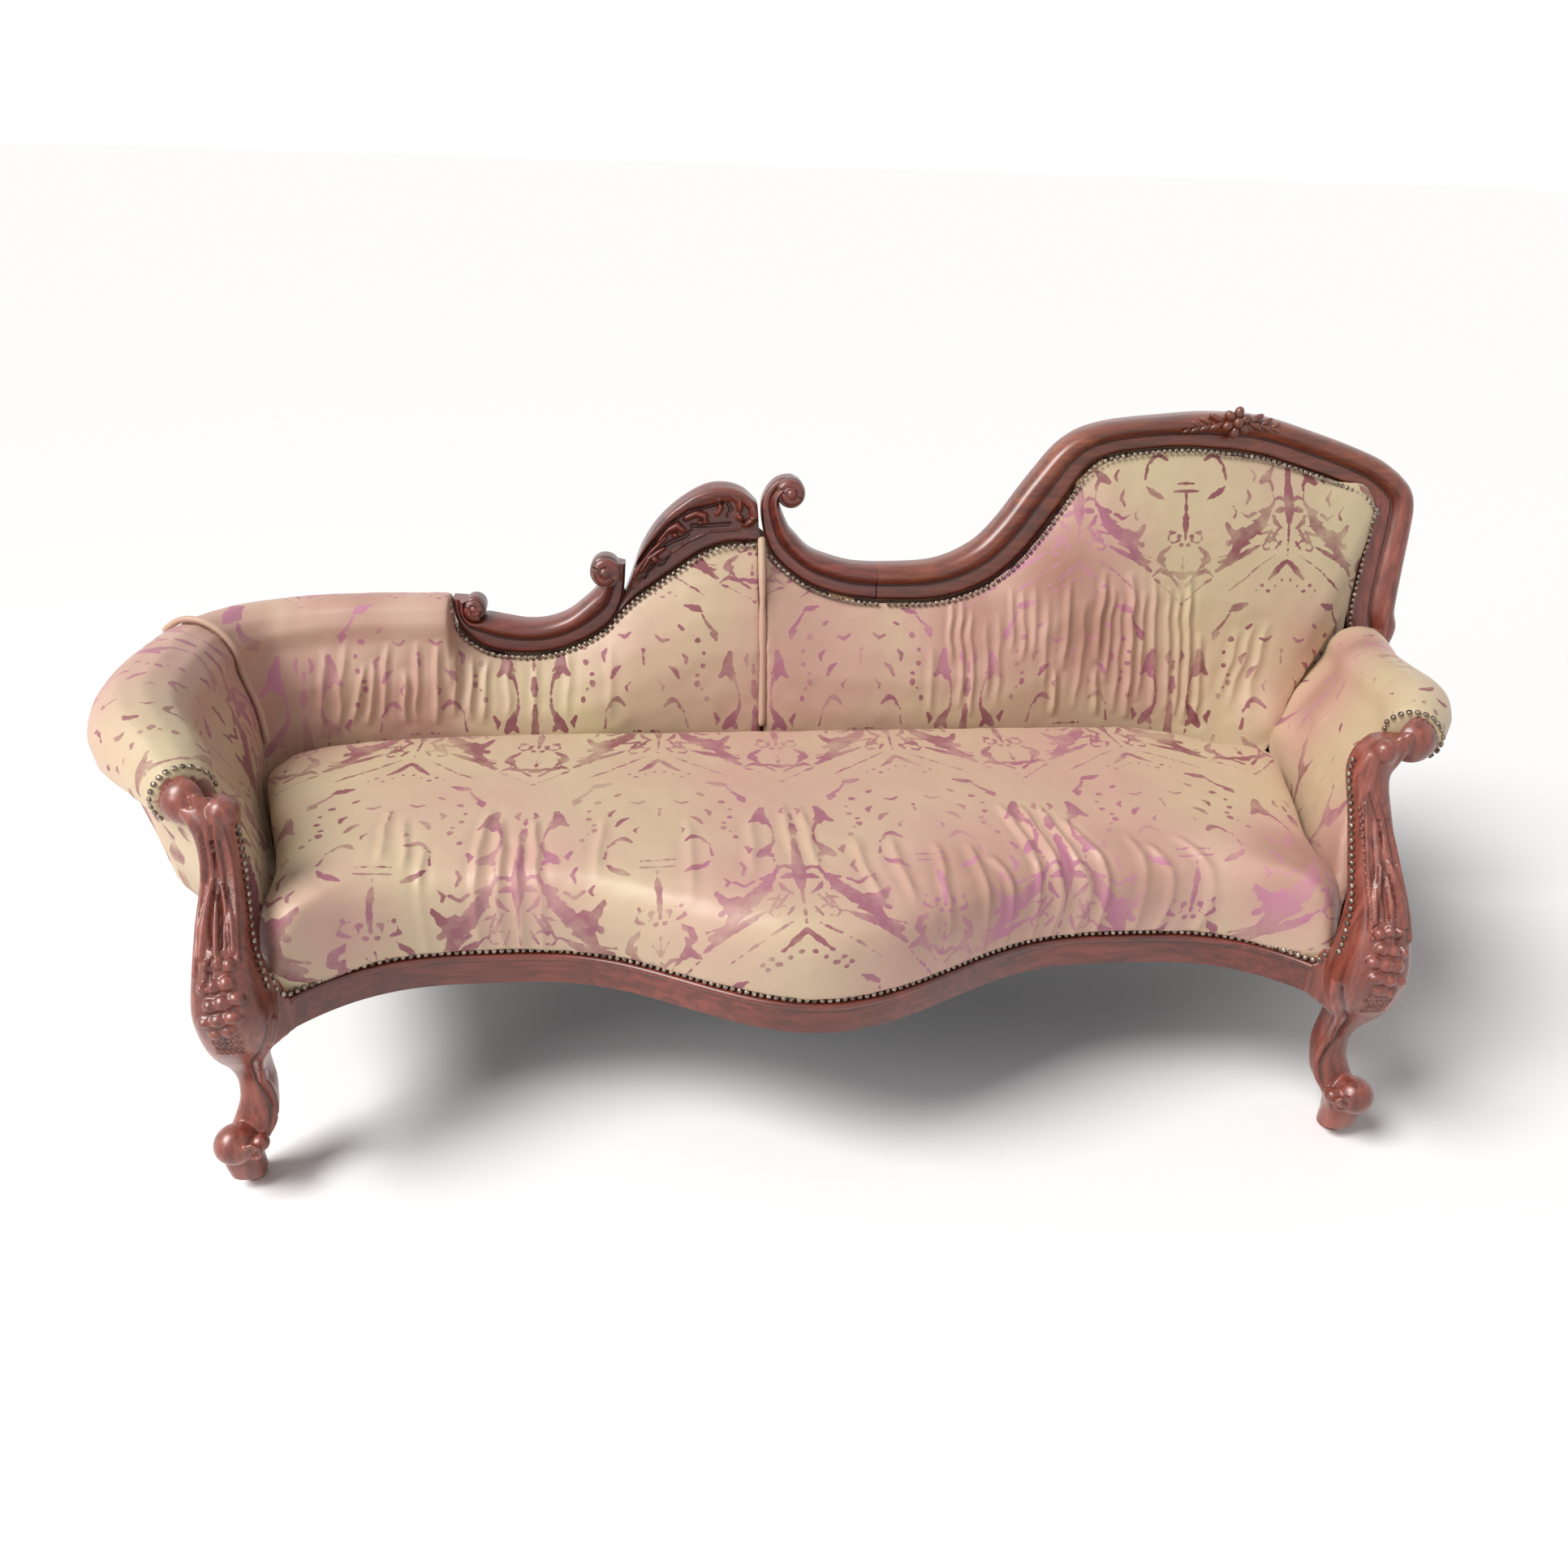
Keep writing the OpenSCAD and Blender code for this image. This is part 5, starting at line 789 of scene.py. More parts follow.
# Damask figure: half of the medallion, as strokes [across, up, half width] in mm from its centre; the rest is its mirror
medallion = [
    [[0, 256, 4], [15, 238, 5], [32, 220, 3]], [[22, 208, 3], [22, 207, 3]], [[8, 218, 3], [8, 217, 3]], [[36, 199, 3.6], [37, 199, 3.6]],
    [[46, 208, 3.4], [47, 208, 3.4]], [[58, 200, 3], [59, 199, 3]], [[50, 190, 2.4], [51, 190, 2.4]],
    [[74, 176, 2], [86, 171, 6.5], [97, 168, 5.5], [104, 163, 2]], [[102, 160, 1.6], [114, 138, 2.2], [128, 124, 3.4]],
    [[118, 126, 3], [126, 116, 3.6]],
    [[92, 116, 3.8], [93, 115, 3.8]], [[84, 124, 2.8], [85, 124, 2.8]], [[103, 92, 3.4], [103, 91, 3.4]],
    [[102, 70, 3.8], [102, 69, 3.8]],
    [[92, 52, 3], [93, 52, 3]], [[108, 10, 4.2], [109, 9, 4.2]], [[92, 38, 4.4], [92, 34, 3.6]], [[100, 28, 3.4], [101, 26, 3.4]],
    [[150, 92, 3.5], [146, 76, 8], [145, 62, 10], [152, 46, 4]], [[146, 62, 7], [132, 50, 5]], [[150, 66, 5], [160, 54, 3]],
    [[158, 48, 2.2], [165, 18, 2.4], [164, -8, 2.4]], [[162, -12, 3.4], [150, -34, 9], [140, -44, 6]], [[152, -34, 6], [161, -48, 3.4]],
    [[161, -54, 2], [164, -78, 2.4], [155, -98, 3]], [[138, -103, 2], [152, -100, 3]],
    [[154, -98, 6], [141, -127, 9.5], [120, -153, 13], [102, -163, 14], [87, -150, 8], [76, -130, 3]],
    [[103, -168, 10], [94, -192, 8.5], [81, -210, 6.5], [66, -215, 4]],
    [[88, -166, 2], [93, -186, 2.2], [80, -201, 2.6], [62, -205, 2.2]],
    [[28, -184, 3], [42, -200, 5.5], [45, -212, 5], [38, -220, 3.4], [22, -246, 2.2], [6, -264, 2]],
    [[0, -70, 1.6], [0, -104, 3.6], [0, -126, 5.4], [0, -168, 1.6]], [[-22, -48, 2], [22, -48, 2]], [[-24, -63, 1.8], [24, -63, 1.8]],
    [[36, 0, 2], [49, 12, 4.8], [60, 6, 3], [69, -12, 2], [73, -42, 2]], [[38, -80, 2], [50, -73, 6], [62, -64, 5], [70, -55, 2]],
    [[20, -150, 2], [31, -156, 2], [32, -168, 2], [22, -175, 2], [12, -168, 2], [14, -160, 2]],
    [[0, -200, 1.6], [0, -228, 2.4]], [[0, -230, 2.4], [10, -212, 1.8]], [[0, -242, 3.4], [0, -243, 3.4]],
    [[0, -250, 2.4], [11, -239, 2]],
    [[172, -140, 3.4], [156, -172, 3]], [[161, -140, 2.4], [149, -169, 2.6]], [[178, -168, 3], [170, -186, 2.4]],
    [[52, 292, 1.6], [76, 276, 5.6], [106, 258, 6.6], [132, 234, 3]], [[110, 296, 5], [111, 295, 5]], [[72, 296, 2], [92, 284, 3.4]],
    [[18, 270, 1.6], [60, 237, 1.8], [108, 199, 1.6]], [[0, 268, 1.6], [0, 310, 2], [0, 352, 2.6]],
    [[14, 292, 1.6], [26, 304, 2.6], [40, 302, 2.4], [48, 290, 2], [42, 280, 1.8], [34, 284, 1.8]],
    [[20, 318, 1.6], [38, 324, 3.4], [56, 316, 1.6]],
    [[14, 334, 2], [24, 344, 4.6], [30, 360, 3]], [[40, 340, 2], [54, 348, 5], [66, 346, 2]], [[16, 374, 6.6], [24, 370, 4]],
    [[40, 376, 4], [54, 368, 3]],
    [[64, 364, 2.4], [77, 352, 3.4], [90, 362, 2.4]], [[8, 392, 3], [18, 398, 4], [30, 394, 2]],
    [[74, 322, 2.4], [86, 328, 4], [96, 322, 2]],
    [[0, -295, 1.8], [26, -272, 1.8], [52, -250, 1.8]], [[56, -246, 2], [40, -234, 5], [19, -248, 2.4]],
    [[2, -250, 2], [16, -240, 4], [34, -241, 2]],
    [[34, -209, 2.4], [40, -232, 2.4]], [[27, -150, 4], [28, -149, 4]], [[11, -158, 4], [12, -157, 4]], [[6, -178, 4], [7, -177, 4]],
    [[44, 70, 1.8], [54, 62, 3.2], [60, 50, 1.8]], [[26, 44, 1.8], [34, 34, 3], [30, 22, 1.8]], [[66, 92, 2], [74, 84, 3], [72, 72, 1.8]],
    [[20, 120, 1.8], [32, 112, 3], [42, 116, 1.8]], [[0, 96, 2.2], [0, 84, 3.2], [0, 74, 1.4]], [[60, 140, 2.2], [66, 134, 3]],
    [[112, -60, 1.8], [118, -74, 3.4], [112, -90, 1.8]], [[88, -96, 1.6], [94, -108, 3], [90, -118, 1.6]],
    [[122, -20, 2], [128, -32, 3], [124, -44, 1.6]],
    [[192, 40, 3], [192, 26, 5], [190, 12, 2]], [[192, -4, 3], [192, -30, 6], [192, -52, 7.5], [191, -92, 8], [190, -124, 2.6]],
    [[192, 70, 2], [192, 62, 3.4], [192, 54, 1.6]], [[182, 90, 2], [178, 80, 3], [182, 70, 1.6]]]
damask = {"width": 385, "height": 940}


# Signed distance to the figure over one half repeat, on a grid of 1 mm: each column's figures, and the next's half a drop lower
def figureGrid():
    half, height = damask["width"] / 2, damask["height"]
    x, y = np.meshgrid(np.arange(0, int(half) + 3), np.arange(0, height), indexing="xy")
    gap = np.full(x.size, 12.0)
    for across, drop in ((x, 0), (half - x, height / 2)):
        up = (y - drop + height / 2) % height - height / 2
        places = np.stack([across.ravel(), up.ravel()], -1).astype(float)
        for stroke in medallion:
            rows = np.asarray(stroke, float)
            near = (np.abs(places[:, 1] - rows[:, 1].mean()) < np.ptp(rows[:, 1]) / 2 + 26)
            near &= np.abs(places[:, 0] - rows[:, 0].mean()) < np.ptp(rows[:, 0]) / 2 + 26
            gap[near] = np.minimum(gap[near], strokeDistance(places[near], stroke))
    # Stepped edges, as a loom makes them
    ragged = softNoise(x.ravel(), y.ravel(), 6, 3) * 1.5 + softNoise(x.ravel(), y.ravel(), 14, 4) * 1.2
    return (gap + ragged).reshape(x.shape)


figureMap = figureGrid()
print("damask figure drawn")


# Figure at cloth places (u, v) in mm: positive inside it
def readFigure(u, v, middle, width):
    u = (u - middle[0]) * damask["width"] / width
    v = (v - middle[1]) * damask["width"] / width
    u = np.abs((u + damask["width"] / 2) % damask["width"] - damask["width"] / 2)
    v = v % damask["height"]
    i, j = np.clip(u.astype(int), 0, figureMap.shape[1] - 2), v.astype(int) % damask["height"]
    fi, fj = u - i, v - np.floor(v)
    nextJ = (j + 1) % damask["height"]
    low = figureMap[j, i] * (1 - fi) + figureMap[j, i + 1] * fi
    high = figureMap[nextJ, i] * (1 - fi) + figureMap[nextJ, i + 1] * fi
    return -np.clip(low * (1 - fj) + high * fj, -10, 10)


# Silk damask: a gold ground that turns pinkish tan, then a darker shaded tan as the pink field rises, partly the silk's
# changing tone and partly painted sheen and painted shade; a maroon figure that turns rose with the same field, satin
# gloss and fine weave
# Ground and figure colours: the darkest tan is painted shade, and the pinkish tan and the rose stand partly for painted
# sheen
damaskSettings = {"gold": "#CDBC98", "tan": "#CBA493", "shadedTan": "#A97B6B", "maroon": "#84454F", "rose": "#C2809A", "sheen": 0.25}


def silkDamask():
    s = damaskSettings
    material, tree = newMaterial("shot silk damask")
    place = addNode(tree, "TexCoord")
    figure = addNode(tree, "Attribute", {"attribute_name": "figure"})
    pink = addNode(tree, "Attribute", {"attribute_name": "pink"})
    cloud = addNode(tree, "TexNoise", Vector=place.outputs["Object"], Scale=4.5, Detail=3.0)
    patch = addNode(tree, "TexNoise", Vector=place.outputs["Object"], Scale=13.0, Detail=4.0, Roughness=0.6)
    frayed = addNode(tree, "TexNoise", Vector=place.outputs["Object"], Scale=240.0, Detail=3.0)
    ragged = addNode(tree, "Math", {"operation": "MULTIPLY_ADD"}, i0=frayed.outputs["Fac"], i1=1.6, i2=figure.outputs["Fac"])
    inside = addNode(tree, "MapRange", Value=ragged.outputs[0], i1=0.45, i2=1.15)
    strength = addNode(tree, "MapRange", Value=patch.outputs["Fac"], i1=0.36, i2=0.56, i3=0.35, i4=0.95)
    mask = addNode(tree, "Math", {"operation": "MULTIPLY"}, i0=inside.outputs[0], i1=strength.outputs[0])
    # Painted sheen and shade: the pink field with random cloud moves the ground from gold through pinkish tan to the
    # shaded tan, and the figure from maroon to rose
    shotSheenShade = addNode(tree, "Math", {"operation": "MULTIPLY_ADD"}, i0=cloud.outputs["Fac"], i1=0.7, i2=pink.outputs["Fac"])
    groundSheenShade = addNode(tree, "MapRange", Value=shotSheenShade.outputs[0], i1=0.3, i2=1.35)
    figureSheenShade = addNode(tree, "MapRange", Value=shotSheenShade.outputs[0], i1=0.45, i2=1.1)
    ground = addRamp(tree, groundSheenShade.outputs[0], [(0, s["gold"]), (0.5, s["tan"]), (1, s["shadedTan"])])
    threads = addNode(tree, "TexNoise", Vector=place.outputs["Object"], Scale=420.0, Detail=2.0)
    fleck = addNode(tree, "MapRange", Value=threads.outputs["Fac"], i3=0.9, i4=1.08)
    tone = addNode(tree, "MixRGB", {"blend_type": "MULTIPLY"}, Fac=1.0, Color1=ground.outputs[0], Color2=fleck.outputs[0])
    flower = addNode(tree, "MixRGB", Fac=figureSheenShade.outputs[0], Color1=toLinear(s["maroon"]), Color2=toLinear(s["rose"]))
    colour = addNode(tree, "MixRGB", Fac=mask.outputs[0], Color1=tone.outputs[0], Color2=flower.outputs[0])
    rough = addNode(tree, "MapRange", Value=mask.outputs[0], i3=0.46, i4=0.62)
    weave = addNode(tree, "Math", {"operation": "MULTIPLY_ADD"}, i0=threads.outputs["Fac"], i1=0.6, i2=mask.outputs[0])
    bump = addNode(tree, "Bump", Height=weave.outputs[0], Strength=0.25, Distance=0.0004)
    shader = addNode(tree, "BsdfPrincipled", Base_Color=colour.outputs[0], Roughness=rough.outputs[0], Normal=bump.outputs[0],
                     Sheen_Weight=s["sheen"], Sheen_Roughness=0.45, Sheen_Tint=toLinear("#EBCDBE"))
    closeMaterial(tree, shader)
    return material


silk = silkDamask()

# Where the cloth is painted with sheen and shade, partly the silk's changing tone: pinkish at middling strength, a
# darker tan at the strongest; [x, y, z, reach, strength] in mm
sheenShadePlaces = [[-1000, 60, 590, 150, 0.7], [-930, 250, 620, 130, 0.6], [-720, 330, 640, 140, 0.65], [-560, 320, 620, 120, 0.5],
              [-820, 220, 500, 130, 0.7], [-640, 300, 480, 130, 0.6], [-250, 280, 560, 130, 0.35], [60, 280, 560, 170, 0.6],
              [450, 300, 700, 130, 1.0], [330, 300, 600, 130, 0.95], [520, 300, 600, 120, 0.8], [620, 300, 500, 100, 0.5],
              [900, 120, 520, 110, 0.8], [930, 200, 600, 90, 0.6], [250, -260, 400, 220, 0.75], [480, -220, 420, 160, 0.7],
              [690, -220, 420, 120, 0.9], [0, 60, 446, 330, 0.4], [-420, -200, 420, 140, 0.5], [-130, -250, 410, 120, 0.5],
              [-650, -260, 380, 90, 0.5], [950, 160, 620, 90, 0.7], [420, 60, 446, 260, 0.45], [-500, 0, 446, 160, 0.35]]


# The strongest of the places' bells: strength times e to the minus squared distance over squared reach
def sheenShadeField(points):
    field = np.zeros(len(points))
    for x, y, z, reach, strength in sheenShadePlaces:
        field = np.maximum(field, strength * np.exp(-(((points - [x, y, z]) ** 2).sum(1)) / reach ** 2))
    return field


# Cloth laid on the seat, the back and the arms gives (u, v) in mm at each point. On the seat: across, and depth less the drop
def laySeat(points):
    return points[:, 0], points[:, 1] - (446 - points[:, 2])


# On the back: across, and height up the rake, carried on over the top by the depth behind the face
def layBack(points):
    face = backY(points[:, 2]) - 60
    return points[:, 0], points[:, 2] / math.cos(rake) + np.clip(points[:, 1] - np.maximum(face, 300), 0, None)


armRolls = {-1: [[-830.7, -202, 553, 41], [-874.5, -132, 558, 57], [-937.9, -36, 564, 71], [-952, 82, 567, 74], [-940.9, 223, 569, 67],
                 [-881.7, 307, 574, 61], [-792, 331, 581, 58], [-690, 331, 587, 56], [-561.7, 331, 588, 55.5]],
            1: [[830.7, -202, 614, 41], [874.5, -132, 619, 49], [907.8, -23, 599, 52], [946.1, 103, 575.5, 52], [993, 203, 555, 52],
                [1018.4, 282, 546, 53]]}


# Along the arm's rail, and round its roll from the seat side over the top
def layArm(points, side):
    line = splineThrough(armRolls[side], 12)
    run = np.concatenate([[0], np.cumsum(np.hypot(*np.diff(line[:, :2], axis=0).T))])
    near = np.argmin(((points[:, None, :2] - line[None, :, :2]) ** 2).sum(-1), 1)
    tangent = np.gradient(line[:, :2], axis=0)
    tangent /= np.linalg.norm(tangent, axis=1)[:, None]
    out = np.stack([tangent[:, 1], -tangent[:, 0]], -1) * side
    away = points[:, :2] - line[near, :2]
    across, rise = (away * out[near]).sum(1), points[:, 2] - line[near, 2]
    turn = np.arctan2(np.maximum(rise, 0), -across)
    radius, leave = line[near, 3], math.radians(42)
    v = radius * turn + np.where((rise < 0) & (across > 0), -rise, 0)
    # Inside, the cloth leaves the roll at a slope and runs straight down to the seat
    slope = (-across - radius * math.cos(leave)) * math.sin(leave) + (radius * math.sin(leave) - rise) * math.cos(leave)
    v = np.where((turn < leave) & (across < 0), radius * leave - slope, v)
    return run[near] + (away * tangent[near]).sum(1), v


# Pleats and pulls: [height of the fold, half width] then its line in the plane of the pad; a hollow runs beside each fold
padSettings = {
    "seat_cushion": {"name": "seatUpholstery", "voxel": 6, "smooth": 14, "lay": laySeat, "middle": (-222, -159), "repeat": 385,
    "plane": (0, 1),
        "faces": (2, -0.35), "fill": 0.75, "pulls": [(-704, -285, 340, 66, (-26, -8, -24)), (704, -285, 340, 66, (28, -8, -24)),
        (712, -240, 380, 60, (14, 0, 0)),
        (-712, -240, 380, 60, (-12, 0, 0)), (790, 110, 430, 55, (18, 22, 0))], "folds": [
        (3.2, 7, [[-466, -62], [-472, -201], [-470, -240]]), (3.6, 7, [[-448, -87], [-440, -235]]), (3.4, 7, [[-403, -88], [-385, -232]]),
        (3.0, 6, [[-421, -132], [-414, -235]]), (2.6, 6, [[-615, -54], [-600, -190]]), (2.8, 6, [[-587, -80], [-568, -200]]),
        (2.4, 6, [[-547, -159], [-546, -230]]), (4.0, 6, [[292, -75], [310, -199], [312, -250]]),
        (4.6, 6, [[320, -80], [338, -213], [362, -240]]),
        (4.6, 6, [[350, -85], [374, -208], [404, -235]]), (4.2, 6, [[380, -125], [413, -222], [445, -240]]),
        (2.6, 8, [[55, -160], [74, -315]]),
        (2.8, 8, [[108, -165], [120, -305]]), (3.0, 7, [[172, -180], [168, -310]]), (3.0, 7, [[222, -180], [230, -285]]),
        (3.2, 6, [[245, -210], [274, -262]]), (2.6, 7, [[528, -170], [575, -240]]), (2.6, 7, [[481, -185], [518, -235]]),
        (2.2, 7, [[460, -165], [474, -235]]), (2.4, 7, [[-40, -60], [-34, -220]]), (2.4, 7, [[-12, -70], [-2, -230]]),
        (2.0, 8, [[-86, -90], [-92, -240]]), (2.0, 8, [[-300, -90], [-306, -220]]), (1.8, 8, [[-180, -100], [-178, -280]])]},
    "back_pad_right": {"name": "backUpholstery", "voxel": 5, "smooth": 14, "lay": layBack, "middle": (127, 481), "repeat": 370,
    "plane": (0, 2),
        "faces": (1, -0.25), "fill": 0.7, "pulls": [(1000, 362, 812, 45, (16, 0, 16)), (835, 215, 450, 45, (10, -22, 0))], "folds": [
        (2.6, 5, [[286, 630], [282, 540]]), (3.0, 5, [[302, 630], [300, 465]]), (3.0, 5, [[318, 612], [321, 450]]),
        (2.4, 5, [[389, 650], [388, 560]]),
        (2.4, 5, [[409, 650], [409, 545]]), (2.4, 5, [[427, 660], [427, 560]]), (3.4, 6, [[483, 672], [483, 530]]),
        (4.6, 6, [[542, 684], [540, 545]]),
        (3.0, 5, [[560, 660], [560, 500]]), (5.2, 6.5, [[592, 682], [606, 440]]), (4.4, 6, [[543, 520], [549, 446]]),
        (4.6, 6, [[468, 520], [472, 446]]),
        (3.4, 5, [[613, 650], [622, 470]]), (3.4, 5, [[631, 678], [649, 446]]), (3.0, 5, [[658, 660], [673, 455]]),
        (3.0, 5, [[677, 650], [692, 446]]),
        (4.6, 6, [[694, 676], [710, 434]]), (3.6, 6, [[721, 580], [729, 436]]), (2.6, 8, [[836, 600], [802, 455]]),
        (2.6, 8, [[812, 600], [779, 465]]),
        (2.4, 8, [[790, 590], [764, 480]]), (2.0, 6, [[345, 600], [348, 480]]), (2.0, 6, [[365, 610], [368, 470]]),
        (2.2, 6, [[447, 640], [448, 500]]),
        (2.0, 7, [[250, 560], [248, 450]]), (2.4, 6, [[512, 640], [512, 460]]), (2.4, 6, [[577, 640], [583, 450]])]},
    "back_pad_left": {"name": "lowBackUpholstery", "voxel": 5, "smooth": 14, "lay": layBack, "middle": (127, 481), "repeat": 370,
    "plane": (0, 2),
        "faces": (1, -0.25), "fill": 0.7, "folds": [
        (3.6, 6, [[-702, 540], [-726, 455]]), (3.6, 6, [[-684, 545], [-702, 450]]), (3.6, 6, [[-661, 572], [-677, 462]]),
        (4.4, 6, [[-635, 530], [-641, 452]]),
        (4.0, 6, [[-613, 574], [-624, 455]]), (4.6, 6, [[-581, 575], [-591, 450]]), (3.8, 6, [[-555, 565], [-561, 462]]),
        (3.4, 6, [[-529, 545], [-535, 455]]),
        (3.0, 6, [[-507, 535], [-512, 448]]), (2.8, 6, [[-730, 574], [-750, 445]]), (2.6, 6, [[-763, 560], [-776, 435]]),
        (2.0, 7, [[-427, 535], [-428, 448]]),
        (1.8, 7, [[-372, 545], [-373, 450]]), (2.0, 7, [[-470, 540], [-474, 450]]), (1.6, 8, [[-300, 560], [-300, 460]])]},
    "arm_pad_left": {"name": "leftArmUpholstery", "voxel": 5.5, "smooth": 12, "lay": lambda p: layArm(p, -1), "middle": (190, 60),
    "repeat": 385,
        "plane": (1, 2), "faces": (2, -2.0), "fill": 0.75, "folds": [(1.8, 9, [[-150, 520], [-60, 470]]),
        (1.8, 9, [[-90, 540], [0, 480]])]},
    "arm_pad_right": {"name": "rightArmUpholstery", "voxel": 5.5, "smooth": 12, "lay": lambda p: layArm(p, 1), "middle": (120, 20),
    "repeat": 385,
        "plane": (1, 2), "faces": (2, -2.0), "fill": 0.75, "plain": 3.5, "pulls": [(856, 160, 440, 45, (-16, 10, 0))],
        "folds": [(2.0, 8, [[-150, 560], [-90, 440]]), (2.0, 8, [[40, 540], [80, 450]])]}}


# Copy of a node's mesh with its double points joined, as a piece of its own
def copyNode(node, name, material):
    mesh = nodes[node].data.copy()
    editMesh(mesh, lambda shell: bmesh.ops.remove_doubles(shell, verts=shell.verts, dist=0.00005))
    mesh.materials.clear()
    return addPiece(name, mesh, material)


# Height of the folds at flat places: a rounded fold with a hollow on each side of it, fading at both ends
def foldField(flat, folds):
    lift = np.zeros(len(flat))
    flat = flat + 3.2 * np.stack([softNoise(flat[:, 0], flat[:, 1], 34, 61), 0 * flat[:, 0]], -1)
    for rise, width, line in folds:
        path = splineThrough(line, 6)
        near = (flat[:, 0] > path[:, 0].min() - 40) & (flat[:, 0] < path[:, 0].max() + 40)
        near &= (flat[:, 1] > path[:, 1].min() - 40) & (flat[:, 1] < path[:, 1].max() + 40)
        if not near.any():
            continue
        stroke = np.concatenate([path, np.zeros((len(path), 1))], 1)
        gap = np.abs(strokeDistance(flat[near], stroke))
        # The share of the line that lies nearest sets the fade at both ends
        run = path[-1] - path[0]
        along = np.clip(((flat[near] - path[0]) @ run) / (run @ run), 0, 1)
        fade = np.clip(np.sin(np.pi * np.clip(0.06 + 0.88 * along, 0, 1)) * 1.6, 0, 1)
        wave = 1.25 * np.exp(-(gap / (0.75 * width)) ** 1.4) - 0.35 * np.exp(-((gap - 1.8 * width) / width) ** 2)
        lift[near] += rise * wave * fade
    return lift


# Pulls [x, y, z, reach, push]: the push times e to the minus squared distance over squared reach
def pullPoints(points, pulls):
    for x, y, z, reach, push in pulls:
        points = points + np.exp(-((points - [x, y, z]) ** 2).sum(1) / reach ** 2)[:, None] * np.asarray(push, float)
    return points


# A pad: melted and softened copy, lifted along its normals by folds and small waves, then pulled at its corners
def dressPad(node):
    s = padSettings[node]
    piece = copyNode(node, s["name"], silk)
    meltTogether(piece, s["voxel"], s["smooth"])
    splitFaces(piece, 1)
    points, normals = readPlaces(piece), readField(piece, "normal")
    u, v = s["lay"](points)
    figure = readFigure(u + 3 * softNoise(u, v, 60, 5), v + 3 * softNoise(v, u, 60, 6), s["middle"], s["repeat"])
    # Folds lie only on the faces that look up or forward
    axis, least = s["faces"]
    toward, least = (normals[:, 2], least) if axis == 2 else (-normals[:, axis], -least)
    facing = smoothStep(least - 0.2, least + 0.2, toward)
    lift = foldField(points[:, list(s["plane"])], s["folds"]) * facing
    lift += 0.9 * softNoise(u, v, 55, 11) + 0.45 * softNoise(u, v, 21, 12)
    points = pullPoints(points + normals * lift[:, None], s.get("pulls", ()))
    figure -= s.get("plain", 0) * smoothStep(0.1, 0.5, -normals[:, 0])
    writePlaces(piece, points)
    storeField(piece, "figure", figure)
    # Painted sheen and shade on the cloth, from the places' bells
    storeField(piece, "pink", sheenShadeField(points))
    shadeSmooth(piece)
    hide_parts(node)
    print("padded", s["name"], len(points), "points")
    return piece


pads = {padNode: dressPad(padNode) for padNode in padSettings}
armPads = {-1: pads["arm_pad_left"], 1: pads["arm_pad_right"]}


# How far the left panel stands out and the right one in: a height table times fades along the arm
def leftBulge(p):
    rise = np.interp(p[:, 2], (270, 310, 345, 385, 448, 507, 530), (0, 14, 44, 58, 40, 26, 10))
    return rise * (1 - smoothStep(-20, 160, p[:, 1])) * smoothStep(-200, -135, p[:, 1])


def rightBulge(p):
    return -26 * smoothStep(380, 560, p[:, 2]) * (1 - smoothStep(-100, 60, p[:, 1]))


# Thin cloth panels: the two axes that the cloth is laid on, the figure's middle, small waves, and the side that they face
panelSettings = {
    "outside_back": {"name": "outsideBackPanel", "plane": (0, 2), "middle": (127, 481), "waves": 0.8, "side": (0, 1, 0)},
    "outside_arm_left": {"name": "outsideArmPanelLeft", "plane": (1, 2), "middle": (40, 420), "waves": 0.6, "side": (-1, 0, 0),
                         "bulge": leftBulge, "pulls": [(-857, -185, 500, 50, (42, -42, 0)), (-836, -200, 448, 50, (32, -38, 0))]},
    "outside_arm_right": {"name": "outsideArmPanelRight", "plane": (1, 2), "middle": (40, 420), "waves": 0.6, "side": (1, 0, 0),
                          "bulge": rightBulge}}


# A panel: split flat, moved out by waves and bulge, then pulled
def dressPanel(node):
    s = panelSettings[node]
    piece = copyNode(node, s["name"], silk)
    splitFaces(piece, 4, "SIMPLE")
    points = readPlaces(piece)
    u, v = points[:, s["plane"][0]], points[:, s["plane"][1]]
    shift = s["waves"] * softNoise(u, v, 90, 21) + (s["bulge"](points) if "bulge" in s else 0)
    storeField(piece, "figure", readFigure(u, v, s["middle"], damask["width"]))
    # Painted sheen and shade on the panel, from the places' bells
    storeField(piece, "pink", sheenShadeField(points))
    writePlaces(piece, pullPoints(points + shift[:, None] * np.array(s["side"], float), s.get("pulls", ())))
    keepEdges(piece, 40)
    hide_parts(node)


for panelNode in panelSettings:
    dressPanel(panelNode)


# A piped seam: rounded and swelled a little; the back's is drawn on down behind the seat
def dressPiping(node, name):
    piece = copyNode(node, name, silk)
    splitFaces(piece, 2)
    points, normals = readPlaces(piece), readField(piece, "normal")
    swell = 2.0
    if node == "piping_back":
        low, swell = points[:, 2].min(), 3.2
        points[:, 0] -= 4.5
        points[:, 2] -= 64 * (1 - smoothStep(low, low + 200, points[:, 2] + 1.2 * normals[:, 2]))
    points = points + normals * swell
    writePlaces(piece, points)
    storeField(piece, "figure", np.full(len(points), -9.0))
    storeField(piece, "pink", 0.35 + 0.3 * softNoise(points[:, 2], points[:, 0], 60, 31))
    shadeSmooth(piece)
    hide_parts(node)


dressPiping("piping_corner", "cornerPiping")
dressPiping("piping_back", "backPiping")
print("panels and piping")


# Nailheads: a flattened dome every so many mm along a path, standing on the fabric's edge
nailSettings = {"pitch": 10.4, "radius": 4.3, "dome": 2.4, "above": 0.4, "inside": 1.5, "stand": 11.5}


